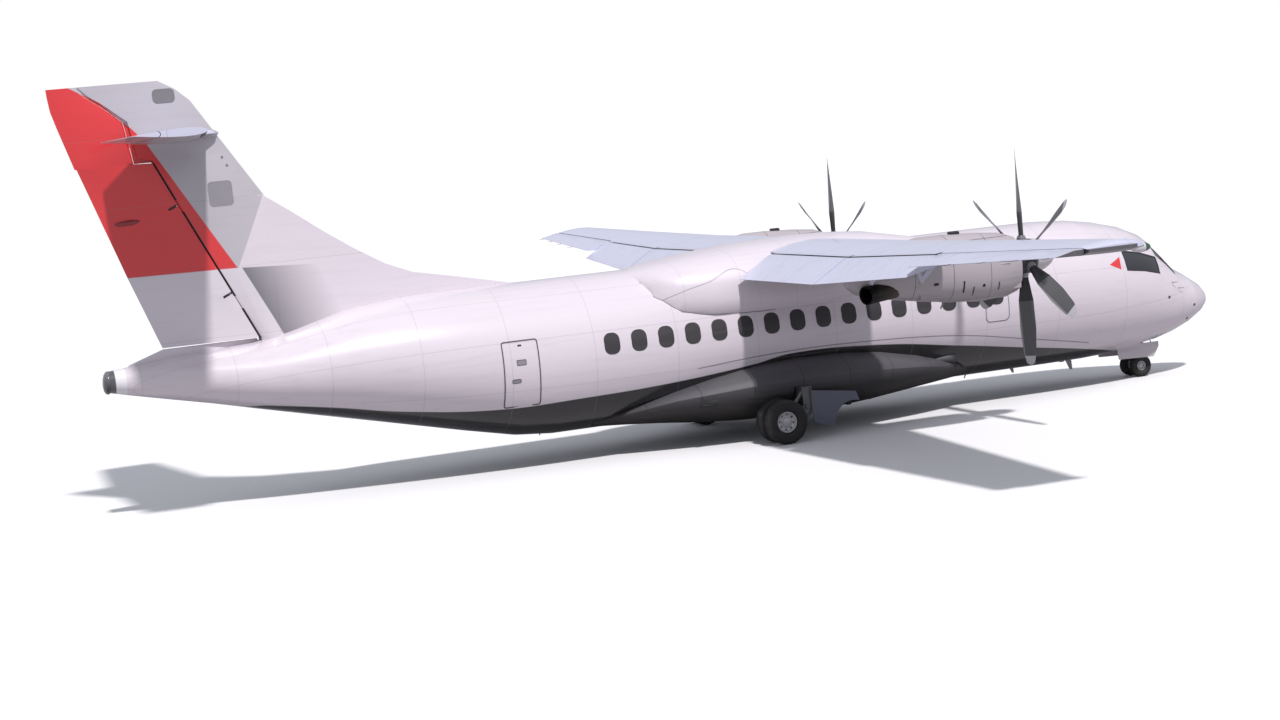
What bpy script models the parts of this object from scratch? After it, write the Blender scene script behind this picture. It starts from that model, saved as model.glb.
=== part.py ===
"""A twin-turboprop airliner with a high wing and a T-tail, standing on its wheels.

Metres, +Z up. X points to the nose, Y to the left wing, and the origin is on the ground,
halfway between the nose and the tip of the rudder.
"""

import math

import bmesh
import bpy
from mathutils import Matrix, Vector

# Driving dimensions of the whole aircraft.
FUSELAGE_RADIUS = 1.4325
AXIS_Z = 1.95
HALF_SPAN = 12.285
SEAM = 0.0003
SKIN_SEAM = 0.0008
RUN_GAP = 0.009

# Undercarriage.
MAIN_AXLE_X = 0.85
MAIN_PIVOT_X = 1.36
MAIN_TRACK_HALF = 2.05
MAIN_TYRE_RADIUS = 0.4065
MAIN_TYRE_WIDTH = 0.220
MAIN_TYRE_SPACING = 0.195
NOSE_AXLE_X = 9.60
NOSE_STEER_X = 9.64
NOSE_TYRE_RADIUS = 0.225
NOSE_TYRE_WIDTH = 0.170
NOSE_TYRE_SPACING = 0.185
NOSE_WELL_HALF = 0.400
WHEEL_SIDES = 20

# Engines and propellers.
ENGINE_Y = 4.05
PROP_Z = AXIS_Z + 1.08
PROP_X = 4.97
PROP_RADIUS = 1.965
PROP_BLADES = 6
HUB_RADIUS = 0.31
NACELLE_FRONT = 4.74
EXHAUST_RADIUS = 0.160

# Wing.
WING_Z = AXIS_Z + 1.36
WING_BREAK = 4.83
WING_INCIDENCE = math.radians(2.0)
WING_HINGE = 0.72
FLAP_ANGLE = math.radians(15.0)
FLAP_DROP = 0.34
FLAP_INNER = (1.50, 4.79)
FLAP_OUTER = (4.87, 7.97)
AILERON_SPAN = (8.02, 12.20)
AILERON_FITTINGS = (9.00, 11.40)

# Flap hinges: stations, then the feet of the wing's arm and of the flap's link, ahead of the pin
# and below it.
FLAP_HINGES = (
    ("flap_inner_", FLAP_INNER, (2.000, 3.200)),
    ("flap_outer_", FLAP_OUTER, (5.500, 7.300)),
)
FLAP_ARM_FOOT = (0.300, -0.280)
FLAP_LINK_FOOT = (-0.085, -0.280)
FLAP_PIN_RADIUS = 0.030

# Hinge fittings of the other surfaces.
FITTING_SLOT = 0.044
FITTING_PLATE = 0.024

# Tail.
TAIL_Z = AXIS_Z + 4.65
TAIL_HALF_SPAN = 3.655
ELEVATOR_HINGE_X = -10.04
ELEVATOR_FITTINGS = (0.90, 2.90)
RUDDER_FITTINGS = (0.25, 0.75)

FUSELAGE_SIDES = 40
SKIN_STEP = 360.0 / FUSELAGE_SIDES

# Fuselage sections: x, half width, top and bottom measured from the fuselage axis.
FUSELAGE = (
    (11.335, 0.020, -0.510, -0.550),
    (11.270, 0.170, -0.360, -0.690),
    (11.100, 0.360, -0.190, -0.820),
    (10.750, 0.600, 0.040, -1.000),
    (10.350, 0.810, 0.270, -1.140),
    (10.050, 0.930, 0.620, -1.220),
    (9.700, 1.050, 0.970, -1.300),
    (9.300, 1.170, 1.150, -1.360),
    (8.800, 1.290, 1.280, -1.400),
    (8.200, 1.385, 1.380, -1.425),
    (7.400, FUSELAGE_RADIUS, FUSELAGE_RADIUS, -FUSELAGE_RADIUS),
    (-3.000, FUSELAGE_RADIUS, FUSELAGE_RADIUS, -FUSELAGE_RADIUS),
    (-3.700, 1.430, FUSELAGE_RADIUS, -1.370),
    (-4.600, 1.415, FUSELAGE_RADIUS, -1.170),
    (-5.600, 1.360, 1.410, -0.930),
    (-6.600, 1.240, 1.310, -0.690),
    (-7.600, 1.060, 1.060, -0.450),
    (-8.300, 0.900, 0.920, -0.280),
    (-9.100, 0.680, 0.870, -0.080),
    (-9.800, 0.480, 0.820, 0.080),
    (-10.450, 0.300, 0.750, 0.230),
    (-10.860, 0.190, 0.710, 0.330),
)

# Fuselage pieces: name, front x, rear x.
FUSELAGE_PIECES = (
    ("radome", 11.335, 10.75),
    ("cockpit_section", 10.75, 8.20),
    ("forward_fuselage", 8.20, 3.60),
    ("centre_fuselage", 3.60, -1.60),
    ("rear_fuselage", -1.60, -8.30),
    ("tail_cone", -8.30, -10.86),
)

# Wing-to-fuselage fairing: x, half width, top, widest height and bottom from the fuselage axis.
WING_FAIRING = (
    (4.900, 0.300, 1.400, 1.300, 1.150),
    (4.400, 0.700, 1.500, 1.150, 0.950),
    (3.700, 1.140, 1.640, 0.950, 0.560),
    (3.000, 1.390, 1.700, 0.800, 0.260),
    (2.200, 1.455, 1.715, 0.750, 0.200),
    (1.000, 1.455, 1.680, 0.750, 0.200),
    (0.000, 1.440, 1.590, 0.770, 0.220),
    (-0.600, 1.340, 1.510, 0.820, 0.330),
    (-1.050, 1.080, 1.450, 0.920, 0.520),
    (-1.300, 0.600, 1.400, 1.080, 0.850),
)

# Belly fairing with its wheel blisters: x, half width, top, widest height and bottom.
BELLY_FAIRING = (
    (5.700, 0.500, -1.150, -1.250, -1.380),
    (4.900, 1.150, -0.880, -1.100, -1.440),
    (4.100, 1.500, -0.660, -0.980, -1.520),
    (3.300, 1.760, -0.480, -0.900, -1.600),
    (2.500, 1.900, -0.400, -0.860, -1.660),
    (1.500, 1.930, -0.380, -0.850, -1.680),
    (0.700, 1.870, -0.440, -0.860, -1.660),
    (-0.100, 1.700, -0.580, -0.920, -1.600),
    (-0.900, 1.400, -0.780, -1.000, -1.510),
    (-1.700, 1.020, -1.000, -1.150, -1.440),
    (-2.300, 0.600, -1.200, -1.280, -1.400),
)

# Nacelle sections: x, half width, top and bottom from the fuselage axis.
NACELLE = (
    (NACELLE_FRONT, 0.390, 1.480, 0.480),
    (4.500, 0.450, 1.560, 0.400),
    (4.000, 0.485, 1.610, 0.380),
    (3.400, 0.490, 1.640, 0.430),
    (2.900, 0.480, 1.640, 0.500),
    (2.400, 0.450, 1.560, 0.580),
    (1.950, 0.390, 1.430, 0.660),
    (1.620, 0.280, 1.330, 0.760),
    (1.450, 0.130, 1.250, 0.900),
)

# Wing plan: y, leading edge x, chord, height of the chord line, thickness ratio.
WING_PLAN = (
    (0.000, 3.100, 2.570, WING_Z, 0.180),
    (WING_BREAK, 3.100, 2.570, WING_Z, 0.180),
    (HALF_SPAN, 2.410, 1.410, WING_Z + 0.325, 0.130),
)

# Tailplane plan in the same columns.
TAIL_PLAN = (
    (0.000, -8.470, 2.130, TAIL_Z, 0.105),
    (0.150, -8.560, 2.040, TAIL_Z, 0.110),
    (0.260, -8.740, 1.850, TAIL_Z, 0.120),
    (TAIL_HALF_SPAN, -9.240, 1.160, TAIL_Z, 0.120),
)

# Fin and rudder: height from the axis, front x of the fin, half width there, rudder nose centre x,
# rudder trailing edge x, half thickness at the rudder nose.
FIN_ROWS = (
    (0.550, -7.790, 0.245, -8.050, -9.700, 0.165),
    (1.000, -7.790, 0.215, -8.250, -9.870, 0.160),
    (2.260, -7.790, 0.120, -8.830, -10.320, 0.145),
    (3.470, -7.790, 0.020, -9.385, -10.720, 0.125),
    (4.270, -8.291, 0.018, -9.750, -10.985, 0.110),
    (4.330, -8.328, 0.018, -10.080, -11.005, 0.085),
    (4.980, -8.735, 0.016, -10.180, -11.225, 0.075),
    (5.260, -8.910, 0.014, -10.480, -11.300, 0.050),
    (5.480, -9.150, 0.012, -10.760, -11.325, 0.032),
    (5.640, -9.430, 0.010, -10.900, -11.335, 0.022),
)
RUDDER_AXIS_LOW = (-8.250, 1.000)
RUDDER_AXIS_HIGH = (-9.750, 4.270)
RUDDER_BOTTOM = 1.000
RUDDER_STEP = 4.30
TAIL_SADDLE = 0.125

# Ridge of the dorsal fin: x, height from the axis.
DORSAL_RIDGE = (
    (-7.790, 3.470),
    (-7.300, 3.120),
    (-6.800, 2.740),
    (-6.300, 2.390),
    (-5.750, 2.050),
    (-5.250, 1.840),
    (-4.400, 1.660),
    (-3.250, 1.400),
)
DORSAL_BASE_Z = 0.550
DORSAL_SLOPE = 0.075

# Doors on the fuselage skin: name, rear x, front x, lower and upper edge from the axis, side, depth.
DOORS = (
    ("airstair_door", -4.120, -3.480, -0.518, 1.150, 1, 0.060),
    ("cargo_door", 6.450, 7.745, -0.799, 0.774, 1, 0.070),
    ("service_door", -4.100, -3.490, -0.700, 0.440, -1, 0.060),
)
DOOR_GAP = 0.008

# Door hinges: door, body, two stations, then y and z of the pin, of the foot in the door and of
# the foot in the body, heights from the axis.
DOOR_HINGES = (
    ("airstair_door", "rear_fuselage", (-4.000, -3.600),
     (1.342, -0.552), (1.315, -0.415), (1.180, -0.660)),
    ("cargo_door", "forward_fuselage", (6.750, 7.250),
     (1.236, 0.790), (1.235, 0.650), (1.080, 0.900)),
)
DOOR_PIN_RADIUS = 0.014

# Steps of the airstair, level when the door lies open at 130 degrees.
STEP_HEIGHTS = (-0.390, -0.150, 0.090, 0.330, 0.570)
STEP_DEPTH = 0.190
STEP_GOING = 0.200
STEP_SLOPE = math.radians(50.0)
STRINGER_INSET = 0.055
STRINGER_THICK = 0.030

# Jacking pads: x, y, and height of the flat face.
JACKING_PADS = ((7.900, 0.0, 0.500), (2.600, 1.200, 0.420), (2.600, -1.200, 0.420))

# Cockpit glass on the skin: name, rear x, front x, lower and upper angle.
GLASS_DEPTH = 0.025
GLASS = (
    ("windscreen", 9.760, 10.290, 41.0, 139.0),
    ("side_window_L", 8.830, 9.720, 17.0, 36.0),
    ("side_window_R", 8.830, 9.720, 144.0, 163.0),
)


def paint(name, colour, roughness, metallic=0.0):
    material = bpy.data.materials.new(name)
    material.use_nodes = True
    shader = material.node_tree.nodes["Principled BSDF"]
    shader.inputs["Base Color"].default_value = (*colour, 1.0)
    shader.inputs["Roughness"].default_value = roughness
    shader.inputs["Metallic"].default_value = metallic
    return material


def make_paints():
    return {
        "white": paint("white_paint", (0.85, 0.83, 0.85), 0.25),
        "wing": paint("wing_paint", (0.70, 0.70, 0.78), 0.35),
        "belly": paint("belly_paint", (0.05, 0.05, 0.06), 0.40),
        "red": paint("red_paint", (0.75, 0.05, 0.05), 0.30),
        "grey": paint("grey_paint", (0.45, 0.45, 0.50), 0.40),
        "glass": paint("cockpit_glass", (0.02, 0.02, 0.03), 0.08),
        "tyre": paint("tyre_rubber", (0.02, 0.02, 0.02), 0.80),
        "hub": paint("wheel_alloy", (0.55, 0.55, 0.56), 0.35, 0.9),
        "steel": paint("gear_steel", (0.30, 0.31, 0.33), 0.35, 0.9),
        "blade": paint("blade_composite", (0.05, 0.05, 0.05), 0.45),
        "engine": paint("engine_metal", (0.35, 0.33, 0.31), 0.45, 0.9),
    }


def finish_body(name, body, material):
    bmesh.ops.recalc_face_normals(body, faces=body.faces)
    if body.calc_volume(signed=True) < 0.0:
        bmesh.ops.reverse_faces(body, faces=body.faces)
    mesh = bpy.data.meshes.new(name)
    body.to_mesh(mesh)
    body.free()
    mesh.shade_smooth()
    mesh.set_sharp_from_angle(angle=math.radians(32.0))
    mesh.materials.append(material)
    thing = bpy.data.objects.new(name, mesh)
    bpy.context.scene.collection.objects.link(thing)
    return thing


def loft(name, rings, material):
    """A closed body through rings of equal point count, capped at both ends."""
    body = bmesh.new()
    rows = [[body.verts.new(point) for point in ring] for ring in rings]
    count = len(rows[0])
    for near, far in zip(rows, rows[1:]):
        for i in range(count):
            j = (i + 1) % count
            body.faces.new((near[i], near[j], far[j]))
            body.faces.new((near[i], far[j], far[i]))
    body.faces.new(rows[0])
    body.faces.new(tuple(reversed(rows[-1])))
    return finish_body(name, body, material)


def prism(name, outline, axis, low, high, material):
    """An outline in the two other axes, drawn out along one axis."""
    def place(a, b, along):
        spots = {"X": (along, a, b), "Y": (a, along, b), "Z": (a, b, along)}
        return spots[axis]
    return loft(name, [[place(a, b, end) for a, b in outline] for end in (low, high)], material)


def turned(name, profile, centre, direction, sides, material, hollow=False):
    """A profile of (along, radius) points, turned about a line through centre."""
    turn = Vector((0.0, 0.0, 1.0)).rotation_difference(Vector(direction))
    widen = 1.0 / math.cos(math.pi / sides)

    def ring(along, radius):
        points = []
        for i in range(sides):
            angle = 2.0 * math.pi * (i + 0.5) / sides
            flat = Vector((radius * widen * math.cos(angle), radius * widen * math.sin(angle), along))
            points.append(Vector(centre) + turn @ flat)
        return points

    rings = [ring(along, radius) for along, radius in profile]
    if not hollow:
        return loft(name, rings, material)
    body = bmesh.new()
    rows = [[body.verts.new(point) for point in points] for points in rings]
    for near, far in zip(rows, rows[1:] + rows[:1]):
        for i in range(sides):
            j = (i + 1) % sides
            body.faces.new((near[i], near[j], far[j], far[i]))
    return finish_body(name, body, material)


def box(name, low, high, material):
    outline = ((low[0], low[1]), (high[0], low[1]), (high[0], high[1]), (low[0], high[1]))
    return prism(name, outline, "Z", low[2], high[2], material)


def combine(target, other, operation):
    """A Boolean with a hidden tool shape, which stays in the scene as a guide."""
    other.hide_render = True
    other.display_type = "WIRE"
    step = target.modifiers.new("shape", "BOOLEAN")
    step.object = other
    step.operation = operation
    step.solver = "EXACT"


def cut(target, other):
    combine(target, other, "DIFFERENCE")


def join(target, other):
    combine(target, other, "UNION")


def set_pivot(thing, point):
    """Moves an object's origin to its joint, its shape staying where it is."""
    thing.data.transform(Matrix.Translation(-Vector(point)))
    thing.location = point


def between(rows, x):
    """One row of a table, read at x between its own rows, which may rise or fall."""
    for near, far in zip(rows, rows[1:]):
        low, high = sorted((near[0], far[0]))
        if low <= x <= high:
            part = (x - near[0]) / (far[0] - near[0])
            return tuple(a + (b - a) * part for a, b in zip(near, far))
    return rows[0] if abs(x - rows[0][0]) < abs(x - rows[-1][0]) else rows[-1]


def skin_point(x, degrees, outward=0.0):
    """A point of the many-sided fuselage skin, at an angle around the section."""
    _, half_width, top, bottom = between(FUSELAGE, x)
    middle = AXIS_Z + (top + bottom) / 2.0
    half_height = (top - bottom) / 2.0

    def corner(number):
        angle = math.radians(number * SKIN_STEP)
        across = (half_width + outward) * math.cos(angle)
        return Vector((x, across, middle + (half_height + outward) * math.sin(angle)))

    number = math.floor(degrees / SKIN_STEP)
    return corner(number).lerp(corner(number + 1), degrees / SKIN_STEP - number)


def skin_ring(x, outward=0.0):
    return [skin_point(x, i * SKIN_STEP, outward) for i in range(FUSELAGE_SIDES)]


def boxy_ring(x, half_width, top, waist, bottom, centre_y=0.0, power=2.6, sides=28):
    """A section between an oval and a rectangle, widest at its waist."""
    points = []
    for i in range(sides):
        angle = 2.0 * math.pi * i / sides
        across = math.cos(angle)
        up = math.sin(angle)
        reach = top - waist if up > 0.0 else waist - bottom
        points.append((
            x,
            centre_y + half_width * math.copysign(abs(across) ** (2.0 / power), across),
            AXIS_Z + waist + reach * math.copysign(abs(up) ** (2.0 / power), up),
        ))
    return points


def even_ring(x, half_width, top, bottom, **shape):
    return boxy_ring(x, half_width, top, (top + bottom) / 2.0, bottom, **shape)


def level_angle(x, height):
    """The angle at which the left side of the skin has a height, counted from the axis."""
    number = -9
    while skin_point(x, (number + 1) * SKIN_STEP).z < AXIS_Z + height:
        number += 1
    low = skin_point(x, number * SKIN_STEP).z
    high = skin_point(x, (number + 1) * SKIN_STEP).z
    return (number + (AXIS_Z + height - low) / (high - low)) * SKIN_STEP


def corner_angles(low, high):
    """Two angles and the corners of the skin between them."""
    first = math.floor(low / SKIN_STEP) + 1
    last = math.ceil(high / SKIN_STEP)
    return [low] + [number * SKIN_STEP for number in range(first, last)] + [high]


def level_edges(low, high, side=1):
    """For any station, the angles from one height to another on one side."""
    def angles_at(x):
        angles = corner_angles(level_angle(x, low), level_angle(x, high))
        return angles if side > 0 else [180.0 - angle for angle in reversed(angles)]
    return angles_at


def steady_edges(low, high):
    """The same angles at any station."""
    angles = corner_angles(low, high)
    return lambda x: angles


def skin_patch(name, rear, front, angles_at, outer, inner, material):
    """A curved plate of the skin between two stations and two edges."""
    rows = [row[0] for row in FUSELAGE if rear + 0.02 < row[0] < front - 0.02]
    rings = []
    for x in sorted([rear, front] + rows):
        angles = angles_at(x)
        ring = [skin_point(x, angle, outer) for angle in angles]
        ring += [skin_point(x, angle, -inner) for angle in reversed(angles)]
        rings.append(ring)
    return loft(name, rings, material)


def link_outline(pin, foot, radius, half):
    """A flat link from its foot to a round end about a pin, as an outline in two axes."""
    reach = (Vector(foot) - Vector(pin)).normalized()
    across = Vector((-reach.y, reach.x))
    points = [Vector(foot) + across * half, Vector(foot) - across * half]
    for degrees in (-90.0, -45.0, 0.0, 45.0, 90.0):
        angle = math.radians(degrees)
        points.append(Vector(pin) - reach * radius * math.cos(angle) + across * radius * math.sin(angle))
    return [tuple(point) for point in points]


def aerofoil_half(s):
    """Half thickness of the section at a chord fraction, for a thickness ratio of one."""
    return 5.0 * (
        0.2969 * math.sqrt(s) - 0.1260 * s - 0.3516 * s ** 2 + 0.2843 * s ** 3 - 0.1036 * s ** 4
    )


def camber(s, amount):
    crest = 0.4
    if s < crest:
        return amount / crest ** 2 * (2.0 * crest * s - s * s)
    return amount / (1.0 - crest) ** 2 * ((1.0 - 2.0 * crest) + 2.0 * crest * s - s * s)


def chord_frame(plan, y, amount, incidence):
    """Tools for one section: where a point at a chord fraction and height ratio lies."""
    _, front, chord, height, ratio = between(plan, abs(y))

    def spot(s, rise):
        return (front - s * chord, y, height + rise - (s - 0.25) * chord * math.sin(incidence))

    def skin(s, sign):
        return spot(s, (camber(s, amount) + sign * ratio * aerofoil_half(s)) * chord)

    return chord, front, ratio, spot, skin


SECTION_STATIONS = (0.004, 0.025, 0.08, 0.18, 0.32, 0.50)


def fixed_ring(plan, y, hinge, amount=0.025, incidence=WING_INCIDENCE):
    """The fixed part of a section, with a round cove for the surface behind it."""
    chord, _, ratio, spot, skin = chord_frame(plan, y, amount, incidence)
    nose = ratio * aerofoil_half(hinge) * chord
    reach = (nose + RUN_GAP) / math.cos(math.radians(15.5))
    centre = camber(hinge, amount) * chord
    lip = hinge - reach * math.cos(math.radians(57.0)) / chord
    ring = [skin(lip, 1.0)]
    ring += [skin(s, 1.0) for s in reversed(SECTION_STATIONS)]
    ring.append(skin(0.0, 0.0))
    ring += [skin(s, -1.0) for s in SECTION_STATIONS]
    ring.append(skin(lip, -1.0))
    for degrees in (-62.0, -31.0, 0.0, 31.0, 62.0):
        angle = math.radians(degrees)
        ring.append(spot(hinge - reach * math.cos(angle) / chord, centre + reach * math.sin(angle)))
    return ring


def moving_ring(plan, y, hinge, amount=0.025, incidence=WING_INCIDENCE, shrink=1.0):
    """The moving part of a section: a round nose about the hinge, and a thin trailing edge."""
    chord, _, ratio, spot, _ = chord_frame(plan, y, amount, incidence)
    nose = ratio * aerofoil_half(hinge) * chord * shrink
    centre = camber(hinge, amount) * chord
    ring = []
    for degrees in (90.0, 60.0, 30.0, 0.0, -30.0, -60.0, -90.0):
        angle = math.radians(degrees)
        ring.append(spot(hinge - nose * math.cos(angle) / chord, centre + nose * math.sin(angle)))
    ring.append(spot(1.0, -0.003))
    ring.append(spot(1.0, 0.003))
    return ring


def hinge_point(plan, y, hinge, amount=0.025, incidence=WING_INCIDENCE, drop=0.0):
    chord, _, _, spot, _ = chord_frame(plan, y, amount, incidence)
    return Vector(spot(hinge, camber(hinge, amount) * chord - drop))


def hinge_frame(origin, axis):
    """A frame at a hinge line: Z along the line, X straight ahead of it."""
    along = Vector(axis).normalized()
    ahead = Vector((1.0, 0.0, 0.0))
    ahead = (ahead - along * ahead.dot(along)).normalized()
    turn = Matrix((ahead, along.cross(ahead), along)).transposed().to_4x4()
    return Matrix.Translation(origin) @ turn


def hinge_fitting(name, frame, fixed, moving, slot_radius, reach, material):
    """A fixed plate, round about the hinge line, in a slot of the moving surface."""
    centre = (0.0, 0.0, 0.0)
    up = (0.0, 0.0, 1.0)
    half = FITTING_SLOT / 2.0
    slot = turned(name + "_slot", ((-half, slot_radius), (half, slot_radius)), centre, up, 12, material)
    slot.data.transform(frame)
    cut(moving, slot)
    outline = link_outline(centre[:2], (reach, 0.0), 0.030, 0.030)
    plate = prism(name + "_plate", outline, "Z", -FITTING_PLATE / 2.0, FITTING_PLATE / 2.0, material)
    boss_ends = ((SEAM - half, 0.016), (half - SEAM, 0.016))
    boss = turned(name + "_boss", boss_ends, centre, up, 8, material)
    for part in (plate, boss):
        part.data.transform(frame)
        join(fixed, part)


def make_fuselage(paints):
    whole = loft("fuselage_form", [skin_ring(row[0], SEAM) for row in FUSELAGE], paints["white"])
    pieces = {}
    for name, front, rear in FUSELAGE_PIECES:
        stations = [front - SEAM / 2.0]
        stations += [row[0] for row in FUSELAGE if rear + 0.01 < row[0] < front - 0.01]
        stations.append(rear + SEAM / 2.0)
        pieces[name] = loft(name, [skin_ring(x) for x in stations], paints["white"])
    return whole, pieces


def make_doors(paints, pieces):
    doors = {}
    for name, rear, front, low, high, side, depth in DOORS:
        body = "forward_fuselage" if rear > 0.0 else "rear_fuselage"
        doors[name] = skin_patch(
            name, rear, front, level_edges(low, high, side), 0.0, depth, paints["white"])
        gap = SKIN_SEAM if side < 0 else DOOR_GAP
        recess = skin_patch(
            name + "_recess", rear - gap, front + gap, level_edges(low - gap, high + gap, side),
            0.08, depth + gap, paints["white"])
        cut(pieces[body], recess)
        if name == "airstair_door":
            make_steps(paints, pieces[body], rear, front, low, high, depth)
    make_door_hinges(paints, pieces, doors)


def make_door_hinges(paints, pieces, doors):
    """Two links of the door beside two links of the body, all on one pin line."""
    for door, body, stations, pin, door_foot, body_foot in DOOR_HINGES:
        for x in stations:
            fixed = link_outline(pin, body_foot, DOOR_PIN_RADIUS, 0.022)
            moving = link_outline(pin, door_foot, DOOR_PIN_RADIUS, 0.016)
            fixed = [(y, AXIS_Z + z) for y, z in fixed]
            moving = [(y, AXIS_Z + z) for y, z in moving]
            join(pieces[body], prism(door + "_fixed_hinge", fixed, "X", x - 0.035, x, paints["grey"]))
            join(doors[door], prism(
                door + "_moving_hinge", moving, "X", x + SEAM, x + 0.035, paints["grey"]))
        set_pivot(doors[door], (sum(stations) / 2.0, pin[0], AXIS_Z + pin[1]))


def make_steps(paints, fuselage, rear, front, low, high, depth):
    """Treads between two stringers, on the inner face of the airstair door."""
    middle = (rear + front) / 2.0
    first = level_angle(middle, low)
    last = level_angle(middle, high)
    outer = STRINGER_INSET
    inner = STRINGER_INSET + STRINGER_THICK
    parts = []
    for near, far in ((rear + outer, rear + inner), (front - inner, front - outer)):
        parts.append(skin_patch(
            "airstair_stringer", near, far, steady_edges(first + 3.0, last - 8.0), 0.02 - depth,
            depth + STEP_DEPTH, paints["grey"]))
    into = Vector((-math.cos(STEP_SLOPE), math.sin(STEP_SLOPE)))
    thick = Vector((-into.y, into.x)) * 0.012
    for height in STEP_HEIGHTS:
        skin = skin_point(middle, level_angle(middle, height))
        root = Vector((skin.y - depth, skin.z))
        near = root - into * 0.02
        far = root + into * STEP_GOING
        outline = [tuple(p) for p in (near - thick, near + thick, far + thick, far - thick)]
        parts.append(prism(
            "airstair_tread", outline, "X", rear + outer + 0.01, front - outer - 0.01, paints["grey"]))
    steps = parts[0]
    steps.name = "airstair_steps"
    for other in parts[1:]:
        join(steps, other)
    cut(steps, skin_patch(
        "airstair_skin_form", rear, front, level_edges(low, high), 0.05, depth + SEAM, paints["grey"]))
    well = skin_patch(
        "airstair_well", rear + outer - DOOR_GAP, front - outer + DOOR_GAP,
        steady_edges(first + 2.2, last - 7.2), 0.0, depth + STEP_DEPTH + DOOR_GAP, paints["grey"])
    cut(fuselage, well)
    _, _, _, pin, _, _ = DOOR_HINGES[0]
    set_pivot(steps, (middle, pin[0], AXIS_Z + pin[1]))


def make_glass(paints, pieces):
    for name, rear, front, low, high in GLASS:
        skin_patch(name, rear, front, steady_edges(low, high), 0.0, GLASS_DEPTH, paints["glass"])
        margin = math.degrees(SKIN_SEAM / FUSELAGE_RADIUS) * 1.5
        seat = skin_patch(
            name + "_seat", rear - SKIN_SEAM, front + SKIN_SEAM,
            steady_edges(low - margin, high + margin), 0.05, GLASS_DEPTH + SKIN_SEAM, paints["glass"])
        cut(pieces["cockpit_section"], seat)


def make_wing(paints, fuselage_form):
    ends = (-WING_BREAK + SEAM / 2.0, WING_BREAK - SEAM / 2.0)
    centre = loft("centre_wing", [fixed_ring(WING_PLAN, y, WING_HINGE) for y in ends], paints["wing"])
    cut(centre, fuselage_form)
    for side, letter in ((1, "L"), (-1, "R")):
        outer = make_outer_wing(paints, side, letter)
        for (name, span, stations), carrier in zip(FLAP_HINGES, (centre, outer)):
            make_flap(paints, name + letter, side, span, stations, carrier)
        make_aileron(paints, side, letter, outer)


def make_outer_wing(paints, side, letter):
    rings = []
    for y in (WING_BREAK + SEAM / 2.0, 8.0, 11.9, 12.15):
        rings.append(fixed_ring(WING_PLAN, side * y, WING_HINGE))
    tip = fixed_ring(WING_PLAN, side * HALF_SPAN, WING_HINGE)
    middle = Vector(tip[7]).lerp(Vector(tip[17]), 0.6)
    rings.append([
        (middle.x + (p[0] - middle.x) * 0.94, p[1], middle.z + (p[2] - middle.z) * 0.45) for p in tip])
    return loft("outer_wing_" + letter, rings, paints["wing"])


def make_flap(paints, name, side, span, stations, carrier):
    """A flap, lowered to its rest angle, with its links to the arms below the wing."""
    ends = [side * y for y in span]
    flap = loft(name, [moving_ring(WING_PLAN, y, WING_HINGE) for y in ends], paints["wing"])
    low, high = (hinge_point(WING_PLAN, y, WING_HINGE, drop=FLAP_DROP) for y in ends)
    axis = (high - low).normalized() * side
    turn = Matrix.Rotation(-FLAP_ANGLE, 4, axis)
    flap.data.transform(Matrix.Translation(low) @ turn @ Matrix.Translation(-low))
    set_pivot(flap, low)
    for y in stations:
        frame = hinge_frame(hinge_point(WING_PLAN, side * y, WING_HINGE, drop=FLAP_DROP), axis)
        outline = link_outline((0.0, 0.0), FLAP_ARM_FOOT, FLAP_PIN_RADIUS, 0.055)
        arm = prism(name + "_arm", outline, "Z", 0.0, 0.045, paints["wing"])
        outline = link_outline((0.0, 0.0), FLAP_LINK_FOOT, FLAP_PIN_RADIUS, 0.045)
        link = prism(name + "_link", outline, "Z", -0.035, -SEAM, paints["wing"])
        arm.data.transform(frame)
        link.data.transform(frame)
        join(carrier, arm)
        join(flap, link)


def make_aileron(paints, side, letter, carrier):
    ends = [side * y for y in (AILERON_SPAN[0], 11.9, AILERON_SPAN[1])]
    rings = [moving_ring(WING_PLAN, y, WING_HINGE) for y in ends]
    aileron = loft("aileron_" + letter, rings, paints["wing"])
    low, _, high = (hinge_point(WING_PLAN, y, WING_HINGE) for y in ends)
    set_pivot(aileron, low)
    for y in AILERON_FITTINGS:
        frame = hinge_frame(hinge_point(WING_PLAN, side * y, WING_HINGE), (high - low) * side)
        hinge_fitting("aileron_" + letter, frame, carrier, aileron, 0.100, 0.160, paints["wing"])


def make_fairings(paints, fuselage_form):
    over = loft(
        "wing_fairing", [boxy_ring(*row, power=2.8) for row in WING_FAIRING], paints["white"])
    cut(over, fuselage_form)
    cut(over, wing_form(paints, 2.2))
    under = loft(
        "belly_fairing", [boxy_ring(*row, power=2.1) for row in BELLY_FAIRING], paints["belly"])
    cut(under, fuselage_form)
    return under


def wing_form(paints, reach):
    """The centre wing's form, a seam larger all round, to cut its neighbours."""
    rings = []
    for y in (-reach, reach):
        ring = [Vector(p) for p in fixed_ring(WING_PLAN, y, WING_HINGE)]
        grown = []
        count = len(ring)
        for i, point in enumerate(ring):
            along = (ring[(i + 1) % count] - ring[i - 1]).normalized()
            outward = Vector((-along.z, 0.0, along.x))
            grown.append(point + outward * SEAM * 1.6)
        rings.append(grown)
    return loft("wing_form", rings, paints["wing"])


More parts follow.
